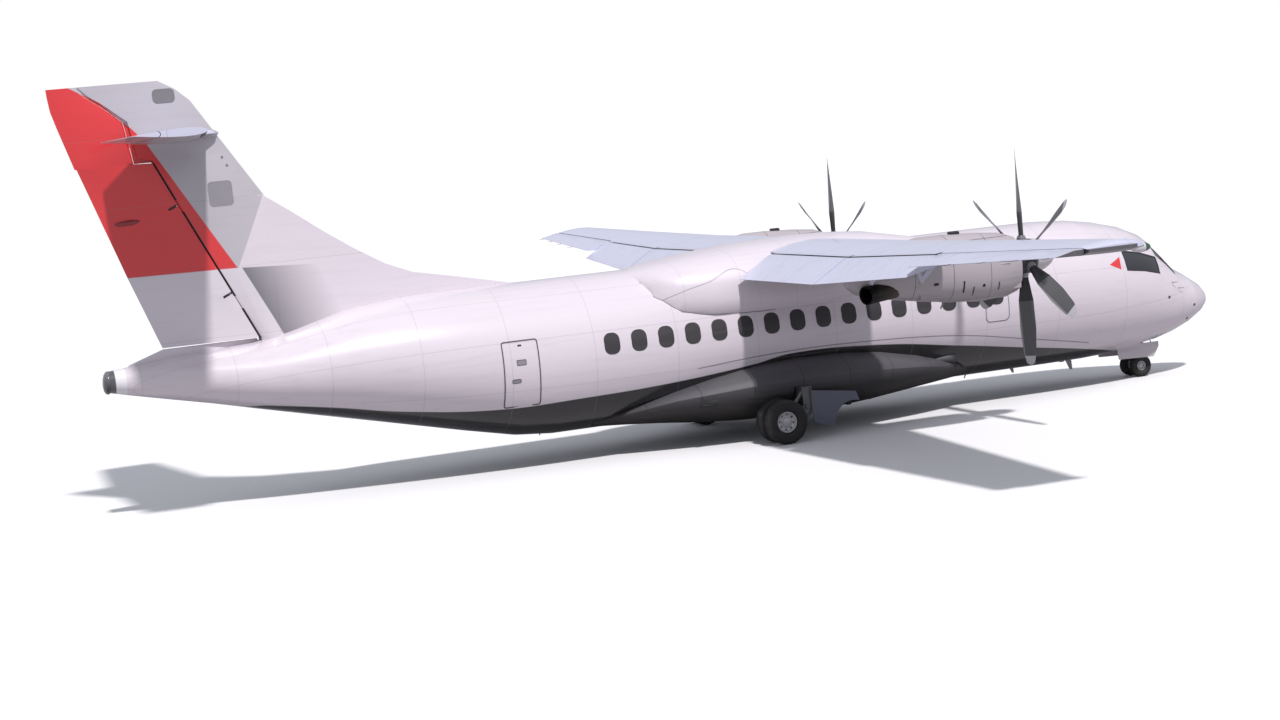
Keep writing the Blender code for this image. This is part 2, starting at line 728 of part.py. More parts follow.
def make_nacelles(paints):
    for side, letter in ((1, "L"), (-1, "R")):
        y = side * ENGINE_Y
        rings = [even_ring(*row, centre_y=y, power=2.3, sides=24) for row in NACELLE]
        nacelle = loft("nacelle_" + letter, rings, paints["grey"])
        cut(nacelle, wing_form(paints, 4.7))
        low = Vector((2.72, y - 0.32, AXIS_Z + 0.56))
        high = Vector((NACELLE_FRONT - 0.02, y + 0.32, AXIS_Z + 1.17))
        gap = Vector((SEAM, SEAM, SEAM))
        bay = box("engine_bay_" + letter, low - gap, high + gap + Vector((0.2, 0.0, 0.0)), paints["grey"])
        cut(nacelle, bay)
        engine = box("engine_" + letter, low, high, paints["engine"])
        shaft = turned(
            "prop_shaft_" + letter, ((high.x - 0.1, 0.08), (PROP_X - 0.20 - SEAM, 0.08)),
            (0.0, y, PROP_Z), (1.0, 0.0, 0.0), 20, paints["engine"])
        join(engine, shaft)
        make_exhaust(paints, side, letter, nacelle)
        make_propeller(paints, letter, Vector((PROP_X, y, PROP_Z)))


def make_exhaust(paints, side, letter, nacelle):
    """A short pipe out of the outer rear side of the nacelle."""
    start = (2.380, side * (ENGINE_Y + 0.150), AXIS_Z + 0.810)
    way = (-0.780, side * 0.260, -0.050)
    length = 0.760
    profile = ((0.0, EXHAUST_RADIUS), (length, EXHAUST_RADIUS), (length, EXHAUST_RADIUS - 0.015),
               (length - 0.250, EXHAUST_RADIUS - 0.022))
    turned("exhaust_" + letter, profile, start, way, 16, paints["engine"])
    hole = ((-SKIN_SEAM, EXHAUST_RADIUS + SKIN_SEAM), (length + 0.3, EXHAUST_RADIUS + SKIN_SEAM))
    cut(nacelle, turned("exhaust_hole_" + letter, hole, start, way, 16, paints["engine"]))


# Propeller blade: distance from the axis, chord, thickness, blade angle from the disc plane.
BLADE = (
    (0.20, 0.130, 0.110, 70.0),
    (0.42, 0.150, 0.080, 62.0),
    (0.80, 0.270, 0.045, 50.0),
    (1.30, 0.310, 0.030, 38.0),
    (1.75, 0.260, 0.018, 30.0),
    (1.93, 0.170, 0.010, 28.0),
    (PROP_RADIUS, 0.060, 0.006, 27.0),
)


def blade_ring(radius, chord, thick, degrees):
    """Eight points round a blade section, for a blade that stands straight up."""
    pitch = math.radians(degrees)
    points = []
    for along, across in ((-0.50, 0.0), (-0.36, 0.36), (-0.05, 0.5), (0.30, 0.30),
                          (0.50, 0.0), (0.30, -0.12), (-0.05, -0.25), (-0.36, -0.2)):
        a = along * chord
        b = across * thick
        points.append(Vector((
            a * math.sin(pitch) + b * math.cos(pitch),
            a * math.cos(pitch) - b * math.sin(pitch),
            radius)))
    return points


def make_propeller(paints, letter, centre):
    back = -0.20
    drum = turned(
        "propeller_" + letter, ((back, HUB_RADIUS - 0.02), (back + 0.03, HUB_RADIUS), (0.12, HUB_RADIUS)),
        centre, (1.0, 0.0, 0.0), 24, paints["blade"])
    for i in range(PROP_BLADES):
        turn = Matrix.Rotation(2.0 * math.pi * i / PROP_BLADES, 3, "X")
        rings = [[centre + turn @ p for p in blade_ring(*row)] for row in BLADE]
        join(drum, loft("blade_%s_%d" % (letter, i), rings, paints["blade"]))
    set_pivot(drum, centre)
    nose = []
    for part in (0.0, 0.25, 0.5, 0.72, 0.88, 0.97):
        nose.append((0.12 + SEAM + part * 0.50, HUB_RADIUS * math.sqrt(1.0 - part ** 2.2)))
    spinner = turned("spinner_" + letter, nose, centre, (1.0, 0.0, 0.0), 24, paints["white"])
    set_pivot(spinner, centre)


def fin_half(row, part, back):
    """Half width of the fin at a fraction of the way from its front to the rudder."""
    _, _, front_half, _, _, nose_half = row
    bulge = 0.55 * (nose_half + 0.09) * math.sin(math.pi * min(1.0, part * 1.05)) ** 0.8
    return front_half + (back - front_half) * part + bulge * 0.55


def fin_ring(row, flat):
    """The fixed fin at one height, with a round cove or a flat face behind."""
    height, front, front_half, centre, _, nose_half = row
    reach = (nose_half + 0.014) / math.cos(math.radians(15.5))
    back = nose_half * 1.02
    if flat:
        edge = centre + nose_half + 0.075
        cove = [(edge, back * k) for k in (-0.8, -0.4, 0.0, 0.4, 0.8)]
    else:
        edge = centre + reach * math.cos(math.radians(62.0))
        cove = []
        for degrees in (-62.0, -31.0, 0.0, 31.0, 62.0):
            angle = math.radians(degrees)
            cove.append((centre + reach * math.cos(angle), reach * math.sin(angle)))
    parts = (0.0, 0.03, 0.10, 0.25, 0.50, 0.75, 1.0)
    side = [(front + (edge - front) * part, fin_half(row, part, back)) for part in parts]
    z = AXIS_Z + height
    ring = [(x, w, z) for x, w in reversed(side)]
    ring += [(x, -w, z) for x, w in side]
    ring += [(x, w, z) for x, w in cove]
    return ring


def rudder_ring(row, shrink=1.0):
    height, _, _, centre, tail, nose_half = row
    z = AXIS_Z + height
    ring = []
    for degrees in (90.0, 60.0, 30.0, 0.0, -30.0, -60.0, -90.0):
        angle = math.radians(degrees)
        ring.append((
            centre + nose_half * shrink * math.cos(angle), nose_half * shrink * math.sin(angle), z))
    ring.append((tail, -0.004, z))
    ring.append((tail, 0.004, z))
    return ring


def fin_row(height):
    return between(FIN_ROWS, height)


def make_tail(paints, fuselage_form):
    saddle = TAIL_Z - AXIS_Z
    low_rows = [row for row in FIN_ROWS if row[0] < RUDDER_STEP]
    rings = [fin_ring(row, False) for row in low_rows]
    rings.append(fin_ring(fin_row(RUDDER_STEP + 0.03), True))
    rings.append(fin_ring(fin_row(saddle - TAIL_SADDLE - SEAM), True))
    fin = loft("fin", rings, paints["grey"])
    cut(fin, fuselage_form)
    rings = [fin_ring(fin_row(saddle + TAIL_SADDLE + SEAM), True)]
    rings += [fin_ring(row, True) for row in FIN_ROWS if row[0] > saddle + 0.2]
    loft("fin_tip", rings, paints["grey"])
    rows = [fin_row(RUDDER_BOTTOM)]
    rows += [row for row in FIN_ROWS if RUDDER_BOTTOM + 0.01 < row[0] < RUDDER_STEP - 0.1]
    rows.append(fin_row(RUDDER_STEP - 0.07))
    rows.append((RUDDER_STEP - 0.06,) + fin_row(RUDDER_STEP + 0.03)[1:])
    rows += [row for row in FIN_ROWS if row[0] > RUDDER_STEP + 0.1]
    rudder = loft("rudder", [rudder_ring(row) for row in rows], paints["red"])
    low, high = (Vector((x, 0.0, AXIS_Z + height)) for x, height in (RUDDER_AXIS_LOW, RUDDER_AXIS_HIGH))
    set_pivot(rudder, low)
    for part in RUDDER_FITTINGS:
        frame = hinge_frame(low.lerp(high, part), high - low)
        hinge_fitting("rudder", frame, fin, rudder, 0.180, 0.300, paints["grey"])
    make_dorsal(paints, fuselage_form)
    make_tailplane(paints)


def make_dorsal(paints, fuselage_form):
    rings = []
    for x, top in DORSAL_RIDGE:
        x = min(x, -3.25)
        front = x > -7.78
        at = x if front else x + SEAM
        crest = 0.020
        foot = crest + DORSAL_SLOPE * (top - DORSAL_BASE_Z)
        rings.append([
            (at, foot, AXIS_Z + DORSAL_BASE_Z), (at, crest, AXIS_Z + top - 0.01),
            (at, 0.0, AXIS_Z + top), (at, -crest, AXIS_Z + top - 0.01),
            (at, -foot, AXIS_Z + DORSAL_BASE_Z)])
    dorsal = loft("dorsal_fin", rings, paints["white"])
    cut(dorsal, fuselage_form)


def tail_hinge(y):
    _, front, chord, _, _ = between(TAIL_PLAN, abs(y))
    return (front - ELEVATOR_HINGE_X) / chord


def make_tailplane(paints):
    spans = [row[0] for row in TAIL_PLAN]
    stations = [-y for y in reversed(spans[1:])] + spans
    rings = [fixed_ring(TAIL_PLAN, y, tail_hinge(y), 0.0, 0.0) for y in stations]
    tailplane = loft("tailplane", rings, paints["grey"])
    saddle = [fin_ring(fin_row(TAIL_Z - AXIS_Z + rise), True) for rise in (-TAIL_SADDLE, TAIL_SADDLE)]
    join(tailplane, loft("tail_saddle", saddle, paints["grey"]))
    for side, letter in ((1, "L"), (-1, "R")):
        rings = []
        for y in (0.36, TAIL_HALF_SPAN - 0.01):
            at = side * y
            rings.append(moving_ring(TAIL_PLAN, at, tail_hinge(at), 0.0, 0.0))
        lean = 0.22
        root = rings[0]
        rings[0] = [
            (x, y + side * lean * max(0.0, ELEVATOR_HINGE_X - x) / 0.56, z) for x, y, z in root]
        elevator = loft("elevator_" + letter, rings, paints["grey"])
        set_pivot(elevator, (ELEVATOR_HINGE_X, 0.0, TAIL_Z))
        for y in ELEVATOR_FITTINGS:
            frame = hinge_frame((ELEVATOR_HINGE_X, side * y, TAIL_Z), (0.0, 1.0, 0.0))
            hinge_fitting("elevator_" + letter, frame, tailplane, elevator, 0.076, 0.150, paints["grey"])


def tyre_profile(radius, width, rim):
    """A closed loop of (along, radius) points: tread, shoulders, side walls and bore."""
    half = width / 2.0
    depth = radius - rim
    return (
        (-half * 0.62, rim),
        (-half, rim + depth * 0.40),
        (-half * 0.90, rim + depth * 0.80),
        (-half * 0.55, radius),
        (half * 0.55, radius),
        (half * 0.90, rim + depth * 0.80),
        (half, rim + depth * 0.40),
        (half * 0.62, rim),
    )


def wheel_pair(paints, name, centre, spacing, radius, width, rim, axle):
    """Two wheel rims on one turning axle, as one solid, and a tyre on each."""
    half = width * 0.31 - SEAM
    profile = []
    for sign in (-1.0, 1.0):
        at = sign * spacing
        profile += (
            (at - half, rim * 0.92), (at - half * 0.6, rim - SEAM),
            (at + half * 0.6, rim - SEAM), (at + half, rim * 0.92))
        if sign < 0.0:
            profile += [(at + half + 0.012, axle), (spacing - half - 0.012, axle)]
    edge = spacing + half
    profile = [(-edge - 0.02, rim * 0.30), (-edge, rim * 0.45)] + profile
    profile += [(edge, rim * 0.45), (edge + 0.02, rim * 0.30)]
    wheels = turned(name + "_wheels", profile, centre, (0.0, 1.0, 0.0), WHEEL_SIDES, paints["hub"])
    set_pivot(wheels, centre)
    for sign, where in ((1.0, "left"), (-1.0, "right")):
        place = Vector(centre) + Vector((0.0, sign * spacing, 0.0))
        tyre = turned(
            name + "_tyre_" + where, tyre_profile(radius, width, rim), place, (0.0, 1.0, 0.0),
            WHEEL_SIDES, paints["tyre"], hollow=True)
        set_pivot(tyre, centre)


def make_main_gear(paints, belly):
    for side, letter in ((1, "L"), (-1, "R")):
        y = side * MAIN_TRACK_HALF
        centre = Vector((MAIN_AXLE_X, y, MAIN_TYRE_RADIUS))
        wheel_pair(paints, "main_" + letter, centre, MAIN_TYRE_SPACING, MAIN_TYRE_RADIUS,
                   MAIN_TYRE_WIDTH, 0.205, 0.038)
        pivot_x = MAIN_PIVOT_X
        pivot_z = 0.62
        arm_half = 0.055
        outline = (
            (centre.x - 0.075, centre.z - 0.03), (centre.x, centre.z - 0.08), (pivot_x, pivot_z - 0.22),
            (pivot_x + 0.11, pivot_z - 0.12), (pivot_x + 0.11, 0.98), (pivot_x - 0.09, 0.98),
            (pivot_x - 0.07, pivot_z + 0.02), (centre.x, centre.z + 0.08), (centre.x - 0.075, centre.z + 0.03))
        leg = prism("main_leg_" + letter, outline, "Y", y - arm_half, y + arm_half, paints["steel"])
        inner = y - side * 0.34
        lows = sorted((inner, y))
        beam = box("main_beam_" + letter, (pivot_x - 0.09, lows[0], 0.80), (pivot_x + 0.11, lows[1], 0.98),
                   paints["steel"])
        join(leg, beam)
        bore = turned(
            "main_bore_" + letter, ((y - 0.2, 0.0388), (y + 0.2, 0.0388)), (centre.x, 0.0, centre.z),
            (0.0, 1.0, 0.0), WHEEL_SIDES, paints["steel"])
        cut(leg, bore)
        far = sorted((inner - side * SEAM, y + side * 0.3))
        bay = box("main_bay_" + letter, (pivot_x - 0.13, far[0], 0.10), (pivot_x + 0.15, far[1], 0.98 + SEAM),
                  paints["belly"])
        cut(belly, bay)
        arch_ends = sorted((y - side * 0.345, y + side * 0.5))
        arch = turned(
            "main_arch_" + letter, [(end, MAIN_TYRE_RADIUS + 0.05) for end in arch_ends],
            (centre.x, 0.0, centre.z), (0.0, 1.0, 0.0), 32, paints["belly"])
        cut(belly, arch)
        make_leg_door(paints, letter, side, y)


# Main leg door in side view: x, z. The hollow in its lower edge is an arc.
LEG_DOOR_ARC = (2.27, 0.26, 0.36)


def make_leg_door(paints, letter, side, y):
    centre_x, centre_z, radius = LEG_DOOR_ARC
    edge = MAIN_PIVOT_X + 0.11 + SEAM
    outline = [(edge, 0.90), (edge, 0.34), (1.62, 0.24), (1.88, 0.20)]
    for degrees in (170.0, 145.0, 120.0, 95.0, 80.0):
        angle = math.radians(degrees)
        outline.append((centre_x + radius * math.cos(angle), centre_z + radius * math.sin(angle)))
    outline += [(2.42, 0.60), (2.40, 0.66), (2.36, 0.78)]
    low, high = sorted((y + side * 0.02, y + side * 0.05))
    prism("main_leg_door_" + letter, outline, "Y", low, high, paints["belly"])


def make_nose_gear(paints, cockpit):
    x = NOSE_STEER_X
    half = NOSE_WELL_HALF
    well = box("nose_well", (8.95, -half, 0.30), (9.95, half, 0.98), paints["grey"])
    cut(cockpit, well)
    turned("nose_leg_upper", ((0.56, 0.085), (0.98 - SEAM, 0.085)), (x, 0.0, 0.0), (0.0, 0.0, 1.0),
                   20, paints["steel"])
    split = 0.56 - SEAM
    lower = turned("nose_leg_lower", ((0.25, 0.05), (0.50, 0.05), (0.50, 0.075), (split, 0.075)),
                   (x, 0.0, 0.0), (0.0, 0.0, 1.0), 20, paints["steel"])
    block = box("nose_axle_block", (NOSE_AXLE_X - 0.07, -0.055, 0.165), (x + 0.09, 0.055, 0.30), paints["steel"])
    join(lower, block)
    bore = turned("nose_bore", ((-0.2, 0.0308), (0.2, 0.0308)), (NOSE_AXLE_X, 0.0, NOSE_TYRE_RADIUS),
                  (0.0, 1.0, 0.0), WHEEL_SIDES, paints["steel"])
    cut(lower, bore)
    set_pivot(lower, (x, 0.0, split))
    wheel_pair(paints, "nose", (NOSE_AXLE_X, 0.0, NOSE_TYRE_RADIUS), NOSE_TYRE_SPACING,
               NOSE_TYRE_RADIUS, NOSE_TYRE_WIDTH, 0.105, 0.030)
    for side, letter in ((1, "L"), (-1, "R")):
        outline = ((8.97, 0.60), (9.00, 0.43), (9.80, 0.40), (9.93, 0.60), (9.93, 0.70), (8.97, 0.70))
        outer = side * (half - SEAM)
        low, high = sorted((outer, outer - side * 0.02))
        prism("nose_door_" + letter, outline, "Y", low, high, paints["white"])


def make_jacking_pads(paints, forward, belly):
    """Round flat pads below the fuselage, each joined to the piece above it."""
    for x, y, z in JACKING_PADS:
        pad = turned("jacking_pad", ((z, 0.050), (z + 0.150, 0.050)), (x, y, 0.0), (0.0, 0.0, 1.0), 12,
                     paints["grey"])
        join(belly if y else forward, pad)


def build():
    for thing in list(bpy.data.objects):
        bpy.data.objects.remove(thing)
    paints = make_paints()
    fuselage_form, pieces = make_fuselage(paints)
    make_doors(paints, pieces)
    make_glass(paints, pieces)
    make_wing(paints, fuselage_form)
    belly = make_fairings(paints, fuselage_form)
    make_nacelles(paints)
    make_tail(paints, fuselage_form)
    make_main_gear(paints, belly)
    make_nose_gear(paints, pieces["cockpit_section"])
    make_jacking_pads(paints, pieces["forward_fuselage"], belly)
    fuselage_form.hide_render = True
    fuselage_form.display_type = "WIRE"


build()
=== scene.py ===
import math

import bpy
from mathutils import Matrix, Vector


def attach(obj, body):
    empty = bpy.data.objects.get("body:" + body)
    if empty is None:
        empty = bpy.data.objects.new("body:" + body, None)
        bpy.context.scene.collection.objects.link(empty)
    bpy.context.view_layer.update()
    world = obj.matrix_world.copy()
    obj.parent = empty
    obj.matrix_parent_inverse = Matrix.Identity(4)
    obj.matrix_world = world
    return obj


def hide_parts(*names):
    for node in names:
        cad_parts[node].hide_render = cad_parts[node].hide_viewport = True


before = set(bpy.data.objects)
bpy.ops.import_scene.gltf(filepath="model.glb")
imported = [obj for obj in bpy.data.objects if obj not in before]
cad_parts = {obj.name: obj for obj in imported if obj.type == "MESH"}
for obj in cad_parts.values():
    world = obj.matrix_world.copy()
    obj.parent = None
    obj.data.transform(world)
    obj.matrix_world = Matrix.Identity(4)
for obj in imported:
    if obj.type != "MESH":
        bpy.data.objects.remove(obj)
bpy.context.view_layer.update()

# The camera stands off the right rear quarter, a little above the cabin floor,
# with a long lens, as the airliner was seen.
CAMERA_PLACE = Vector((-15.204, -40.518, 5.905))
CAMERA_RIGHT = Vector((0.9367, -0.3369, -0.0956)).normalized()
CAMERA_BACK = Vector((-0.3279, -0.9396, 0.0987)).normalized()
CAMERA_LENS = 64.33
view = bpy.data.cameras.new("view")
view.lens = CAMERA_LENS
view.sensor_width = 36.0
view.clip_end = 600.0
camera = bpy.data.objects.new("camera", view)
bpy.context.scene.collection.objects.link(camera)
camera_up = CAMERA_BACK.cross(CAMERA_RIGHT)
turn = Matrix((CAMERA_RIGHT, camera_up, CAMERA_BACK)).transposed()
camera.matrix_world = Matrix.Translation(CAMERA_PLACE) @ turn.to_4x4()
bpy.context.scene.camera = camera

# A pale matt studio floor that runs far out behind the wheels,
# one soft high lamp from the right, and an even pale sky.
FLOOR_HALF = 260.0
FLOOR_LEVEL = -0.002
FLOOR_TONE = (0.93, 0.93, 0.93, 1.0)
FLOOR_BOUNCE = (0.42, 0.41, 0.42, 1.0)
SKY_SEEN = (1.0, 1.0, 1.0, 1.0)
SKY_LIGHT = (0.86, 0.90, 1.0, 1.0)
SKY_STRENGTH = 0.50
SUN_STRENGTH = 2.75
SUN_TONE = (1.0, 0.965, 0.975)
SUN_SPREAD = math.radians(3.0)
SUN_HEIGHT = math.radians(57.0)
bpy.ops.object.select_all(action="DESELECT")
bpy.ops.mesh.primitive_plane_add(size=2 * FLOOR_HALF, location=(0, 0, FLOOR_LEVEL))
floor = bpy.context.object
floor.name = "studio_floor"
bpy.ops.object.transform_apply(location=True, rotation=True, scale=True)
floor_finish = bpy.data.materials.new("pale_floor")
floor_finish.use_nodes = True
floor_shader = floor_finish.node_tree.nodes["Principled BSDF"]
floor_tone = floor_finish.node_tree.nodes.new("ShaderNodeMix")
floor_tone.data_type = "RGBA"
floor_tone.inputs[6].default_value = FLOOR_BOUNCE
floor_tone.inputs[7].default_value = FLOOR_TONE
floor_path = floor_finish.node_tree.nodes.new("ShaderNodeLightPath")
floor_finish.node_tree.links.new(floor_path.outputs["Is Camera Ray"], floor_tone.inputs[0])
floor_finish.node_tree.links.new(floor_tone.outputs[2], floor_shader.inputs["Base Color"])
floor_shader.inputs["Roughness"].default_value = 1.0
floor_shader.inputs["Specular IOR Level"].default_value = 0.0
floor.data.materials.append(floor_finish)
bpy.ops.object.light_add(type="SUN", location=(0, -20, 30))
lamp = bpy.context.object
lamp.name = "high_lamp"
lamp.data.energy = SUN_STRENGTH
lamp.data.angle = SUN_SPREAD
lamp.data.color = SUN_TONE
lamp.rotation_euler = (math.pi / 2 - SUN_HEIGHT, 0, 0)
sky = bpy.data.worlds.new("studio_sky")
sky.use_nodes = True
bpy.context.scene.world = sky
sky_nodes = sky.node_tree.nodes
sky_nodes["Background"].inputs["Color"].default_value = SKY_LIGHT
sky_nodes["Background"].inputs["Strength"].default_value = SKY_STRENGTH
seen = sky_nodes.new("ShaderNodeBackground")
seen.inputs["Color"].default_value = SKY_SEEN
blend = sky_nodes.new("ShaderNodeMixShader")
path = sky_nodes.new("ShaderNodeLightPath")
sky.node_tree.links.new(path.outputs["Is Camera Ray"], blend.inputs[0])
sky.node_tree.links.new(sky_nodes["Background"].outputs[0], blend.inputs[1])
sky.node_tree.links.new(seen.outputs[0], blend.inputs[2])
sky.node_tree.links.new(blend.outputs[0], sky_nodes["World Output"].inputs[0])
bpy.context.scene.view_settings.view_transform = "Standard"

# The fuselage: one riveted aluminium shell in gloss white, with a charcoal belly,
# skin joints every few frames and lap joints along it, faintly streaked by the airflow.
AXIS_Z = 1.95
HULL_RADIUS = 1.4325
WHITE = (0.79, 0.72, 0.78, 1.0)
CHARCOAL = (0.022, 0.021, 0.022, 1.0)
SEAM_TONE = (0.30, 0.28, 0.30, 1.0)
RED = (0.78, 0.045, 0.05, 1.0)
BELLY_LINE = (
    (-8.30, 1.77), (-7.13, 1.60), (-5.80, 1.36), (-4.08, 1.20), (-2.75, 1.22), (-1.20, 1.27),
    (0.67, 1.43), (1.50, 1.55), (3.10, 1.50), (4.97, 1.26), (6.48, 1.03), (8.04, 0.79), (9.40, 0.52),
)
THIN_LINE = ((-0.42, 1.490), (1.50, 1.600), (3.10, 1.580), (4.94, 1.457), (6.50, 1.200), (7.99, 0.931))
LINE_TOP = 2.5
RIVET_STEP = 0.045
RIVET_ROW = 0.022
RIVET_RADIUS = 0.0035


class Level:
    """A number that a material works out at each point, written as plain arithmetic.
    A comparison gives 1 or 0, and a bar between two gives the greater."""

    def __init__(self, tree, socket):
        self.tree = tree
        self.socket = socket

    def __add__(self, other):
        return reckon(self.tree, "ADD", self, other)

    def __sub__(self, other):
        return reckon(self.tree, "SUBTRACT", self, other)

    def __rsub__(self, other):
        return reckon(self.tree, "SUBTRACT", other, self)

    def __mul__(self, other):
        return reckon(self.tree, "MULTIPLY", self, other)

    def __mod__(self, other):
        return reckon(self.tree, "FLOORED_MODULO", self, other)

    def __gt__(self, other):
        return reckon(self.tree, "GREATER_THAN", self, other)

    def __lt__(self, other):
        return reckon(self.tree, "LESS_THAN", self, other)

    def __or__(self, other):
        return reckon(self.tree, "MAXIMUM", self, other)

    def __abs__(self):
        return reckon(self.tree, "ABSOLUTE", self)

    def ramp(self, low, high):
        """0 at the low value, 1 at the high one, straight between."""
        node = self.tree.nodes.new("ShaderNodeMapRange")
        node.inputs["From Min"].default_value = low
        node.inputs["From Max"].default_value = high
        feed(self.tree, node.inputs["Value"], self)
        return Level(self.tree, node.outputs[0])


def feed(tree, inlet, value):
    """Gives an inlet a level or a plain value."""
    if isinstance(value, Level):
        tree.links.new(value.socket, inlet)
    else:
        inlet.default_value = value


def reckon(tree, operation, *values):
    """One step of arithmetic on numbers or levels."""
    node = tree.nodes.new("ShaderNodeMath")
    node.operation = operation
    for inlet, value in zip(node.inputs, values):
        feed(tree, inlet, value)
    return Level(tree, node.outputs[0])


def lay(colour, *coats):
    """Colours laid one over another, each where its own mask is 1."""
    for above, mask in coats:
        node = mask.tree.nodes.new("ShaderNodeMix")
        node.data_type = "RGBA"
        for place, value in ((0, mask), (6, colour), (7, above)):
            feed(mask.tree, node.inputs[place], value)
        colour = Level(mask.tree, node.outputs[2])
    return colour


def left_of(x, z, start, end, soft=0.006):
    """1 to the left of the line from start to end, in the side view."""
    length = math.dist(start, end)
    run = (end[0] - start[0]) / length
    rise = (end[1] - start[1]) / length
    away = z * run - x * rise - (start[1] * run - start[0] * rise)
    return away.ramp(-soft, soft)


def make_group(name, inlets, outlets):
    """A named group of shading steps; its inlets as levels, and its outlets."""
    group = bpy.data.node_groups.new(name, "ShaderNodeTree")
    for label, kind, start in inlets:
        socket = group.interface.new_socket(label, in_out="INPUT", socket_type="NodeSocket" + kind)
        socket.default_value = start
    for label, kind in outlets:
        group.interface.new_socket(label, in_out="OUTPUT", socket_type="NodeSocket" + kind)
    given = group.nodes.new("NodeGroupInput").outputs
    told = group.nodes.new("NodeGroupOutput").inputs
    return group, {socket.name: Level(group, socket) for socket in given}, told


def make_seam_group():
    """Skin joints at an even spacing, with a row of rivets on each side of the joint."""
    group, given, told = make_group(
        "riveted_joints",
        (("Across", "Float", 0.0), ("Along", "Float", 0.0),
         ("Spacing", "Float", 1.0), ("Width", "Float", 0.004)),
        (("Joint", "Float"), ("Rivets", "Float")))
    away = abs(given["Across"] % given["Spacing"] - given["Spacing"] * 0.5)
    step = given["Along"] % RIVET_STEP - RIVET_STEP / 2
    row = away - RIVET_ROW
    feed(group, told["Joint"], away < given["Width"])
    feed(group, told["Rivets"], reckon(group, "SQRT", step * step + row * row) < RIVET_RADIUS)
    return group


def make_film_group():
    """A paint film in use: soft changes of tone, grime drawn out along the airflow, fine orange peel."""
    group, given, told = make_group(
        "worn_paint_film",
        (("Colour", "Color", WHITE), ("Grime", "Float", 0.1), ("Roughness", "Float", 0.3)),
        (("Colour", "Color"), ("Roughness", "Float"), ("Height", "Float")))
    place = group.nodes.new("ShaderNodeTexCoord").outputs["Object"]
    tones = []
    for stretch, scale in (((0.5, 1.0, 1.0), 0.9), ((0.35, 5.0, 7.0), 1.6), ((1.0, 1.0, 1.0), 70.0)):
        spread = group.nodes.new("ShaderNodeMapping")
        spread.inputs["Scale"].default_value = stretch
        noise = group.nodes.new("ShaderNodeTexNoise")
        noise.inputs["Scale"].default_value = scale
        noise.inputs["Detail"].default_value = 4.0
        group.links.new(place, spread.inputs[0])
        group.links.new(spread.outputs[0], noise.inputs["Vector"])
        tones.append(Level(group, noise.outputs["Fac"]))
    broad, streak, peel = tones
    soil = (broad.ramp(0.35, 0.75) * 0.35 + streak.ramp(0.52, 0.80)) * given["Grime"]
    feed(group, told["Colour"], lay(given["Colour"], ((0.16, 0.14, 0.13, 1.0), soil)))
    feed(group, told["Roughness"], given["Roughness"] + soil * 0.5)
    feed(group, told["Height"], peel)
    return group


seam_group = make_seam_group()
film_group = make_film_group()


def start_finish(name, metallic=0.0, coat=0.0):
    """A new material, and the x, y and z of each point of the airliner."""
    made = bpy.data.materials.new(name)
    made.use_nodes = True
    tree = made.node_tree
    shader = tree.nodes["Principled BSDF"]
    shader.inputs["Metallic"].default_value = metallic
    shader.inputs["Coat Weight"].default_value = coat
    shader.inputs["Coat Roughness"].default_value = 0.06
    split = tree.nodes.new("ShaderNodeSeparateXYZ")
    tree.links.new(tree.nodes.new("ShaderNodeTexCoord").outputs["Object"], split.inputs[0])
    return made, *(Level(tree, socket) for socket in split.outputs)


def joints_on(across, along, spacing, width=0.004):
    """The masks of skin joints and of their rivets."""
    tree = across.tree
    node = tree.nodes.new("ShaderNodeGroup")
    node.node_tree = seam_group
    for name, value in (("Across", across), ("Along", along), ("Spacing", spacing), ("Width", width)):
        feed(tree, node.inputs[name], value)
    return Level(tree, node.outputs["Joint"]), Level(tree, node.outputs["Rivets"])


def end_finish(made, colour, grime, roughness, grooves=(), peel=0.0004):
    """Lays the worn film on the colour, sinks the grooves and joins all to the shader."""
    tree = made.node_tree
    shader = tree.nodes["Principled BSDF"]
    film = tree.nodes.new("ShaderNodeGroup")
    film.node_tree = film_group
    for name, value in (("Grime", grime), ("Roughness", roughness), ("Colour", colour)):
        feed(tree, film.inputs[name], value)
    height = Level(tree, film.outputs["Height"]) * peel
    for groove, depth in grooves:
        height = height - groove * depth
    bump = tree.nodes.new("ShaderNodeBump")
    bump.inputs["Distance"].default_value = 1.0
    feed(tree, bump.inputs["Height"], height)
    tree.links.new(bump.outputs[0], shader.inputs["Normal"])
    tree.links.new(film.outputs["Colour"], shader.inputs["Base Color"])
    tree.links.new(film.outputs["Roughness"], shader.inputs["Roughness"])


def plain_finish(name, colour, grime, roughness, metallic=0.0, coat=0.0, peel=0.0004):
    """A material of one colour under the worn film."""
    made = start_finish(name, metallic, coat)[0]
    end_finish(made, colour, grime, roughness, peel=peel)
    return made


def line_level(x, rows):
    """The height of a line in the side view, drawn through a table of x and z."""
    low, high = rows[0][0], rows[-1][0]
    curve = x.tree.nodes.new("ShaderNodeFloatCurve")
    points = curve.mapping.curves[0].points
    for at, level in rows[2:]:
        points.new((at - low) / (high - low), level / LINE_TOP)
    for point, (at, level) in zip(sorted(points, key=lambda point: point.location[0]), rows):
        point.location = ((at - low) / (high - low), level / LINE_TOP)
    curve.mapping.update()
    feed(x.tree, curve.inputs["Value"], x.ramp(low, high))
    return Level(x.tree, curve.outputs[0]) * LINE_TOP


def near_line(x, z, rows, half):
    """1 within half a width of a line in the side view, between its ends."""
    near = abs(line_level(x, rows) - z) < half
    return near * ((x > rows[0][0]) * (x < rows[-1][0]))


def hull_arc(y, z):
    """The distance round the fuselage from its side, in metres."""
    return reckon(y.tree, "ARCTAN2", z - AXIS_Z, abs(y)) * HULL_RADIUS


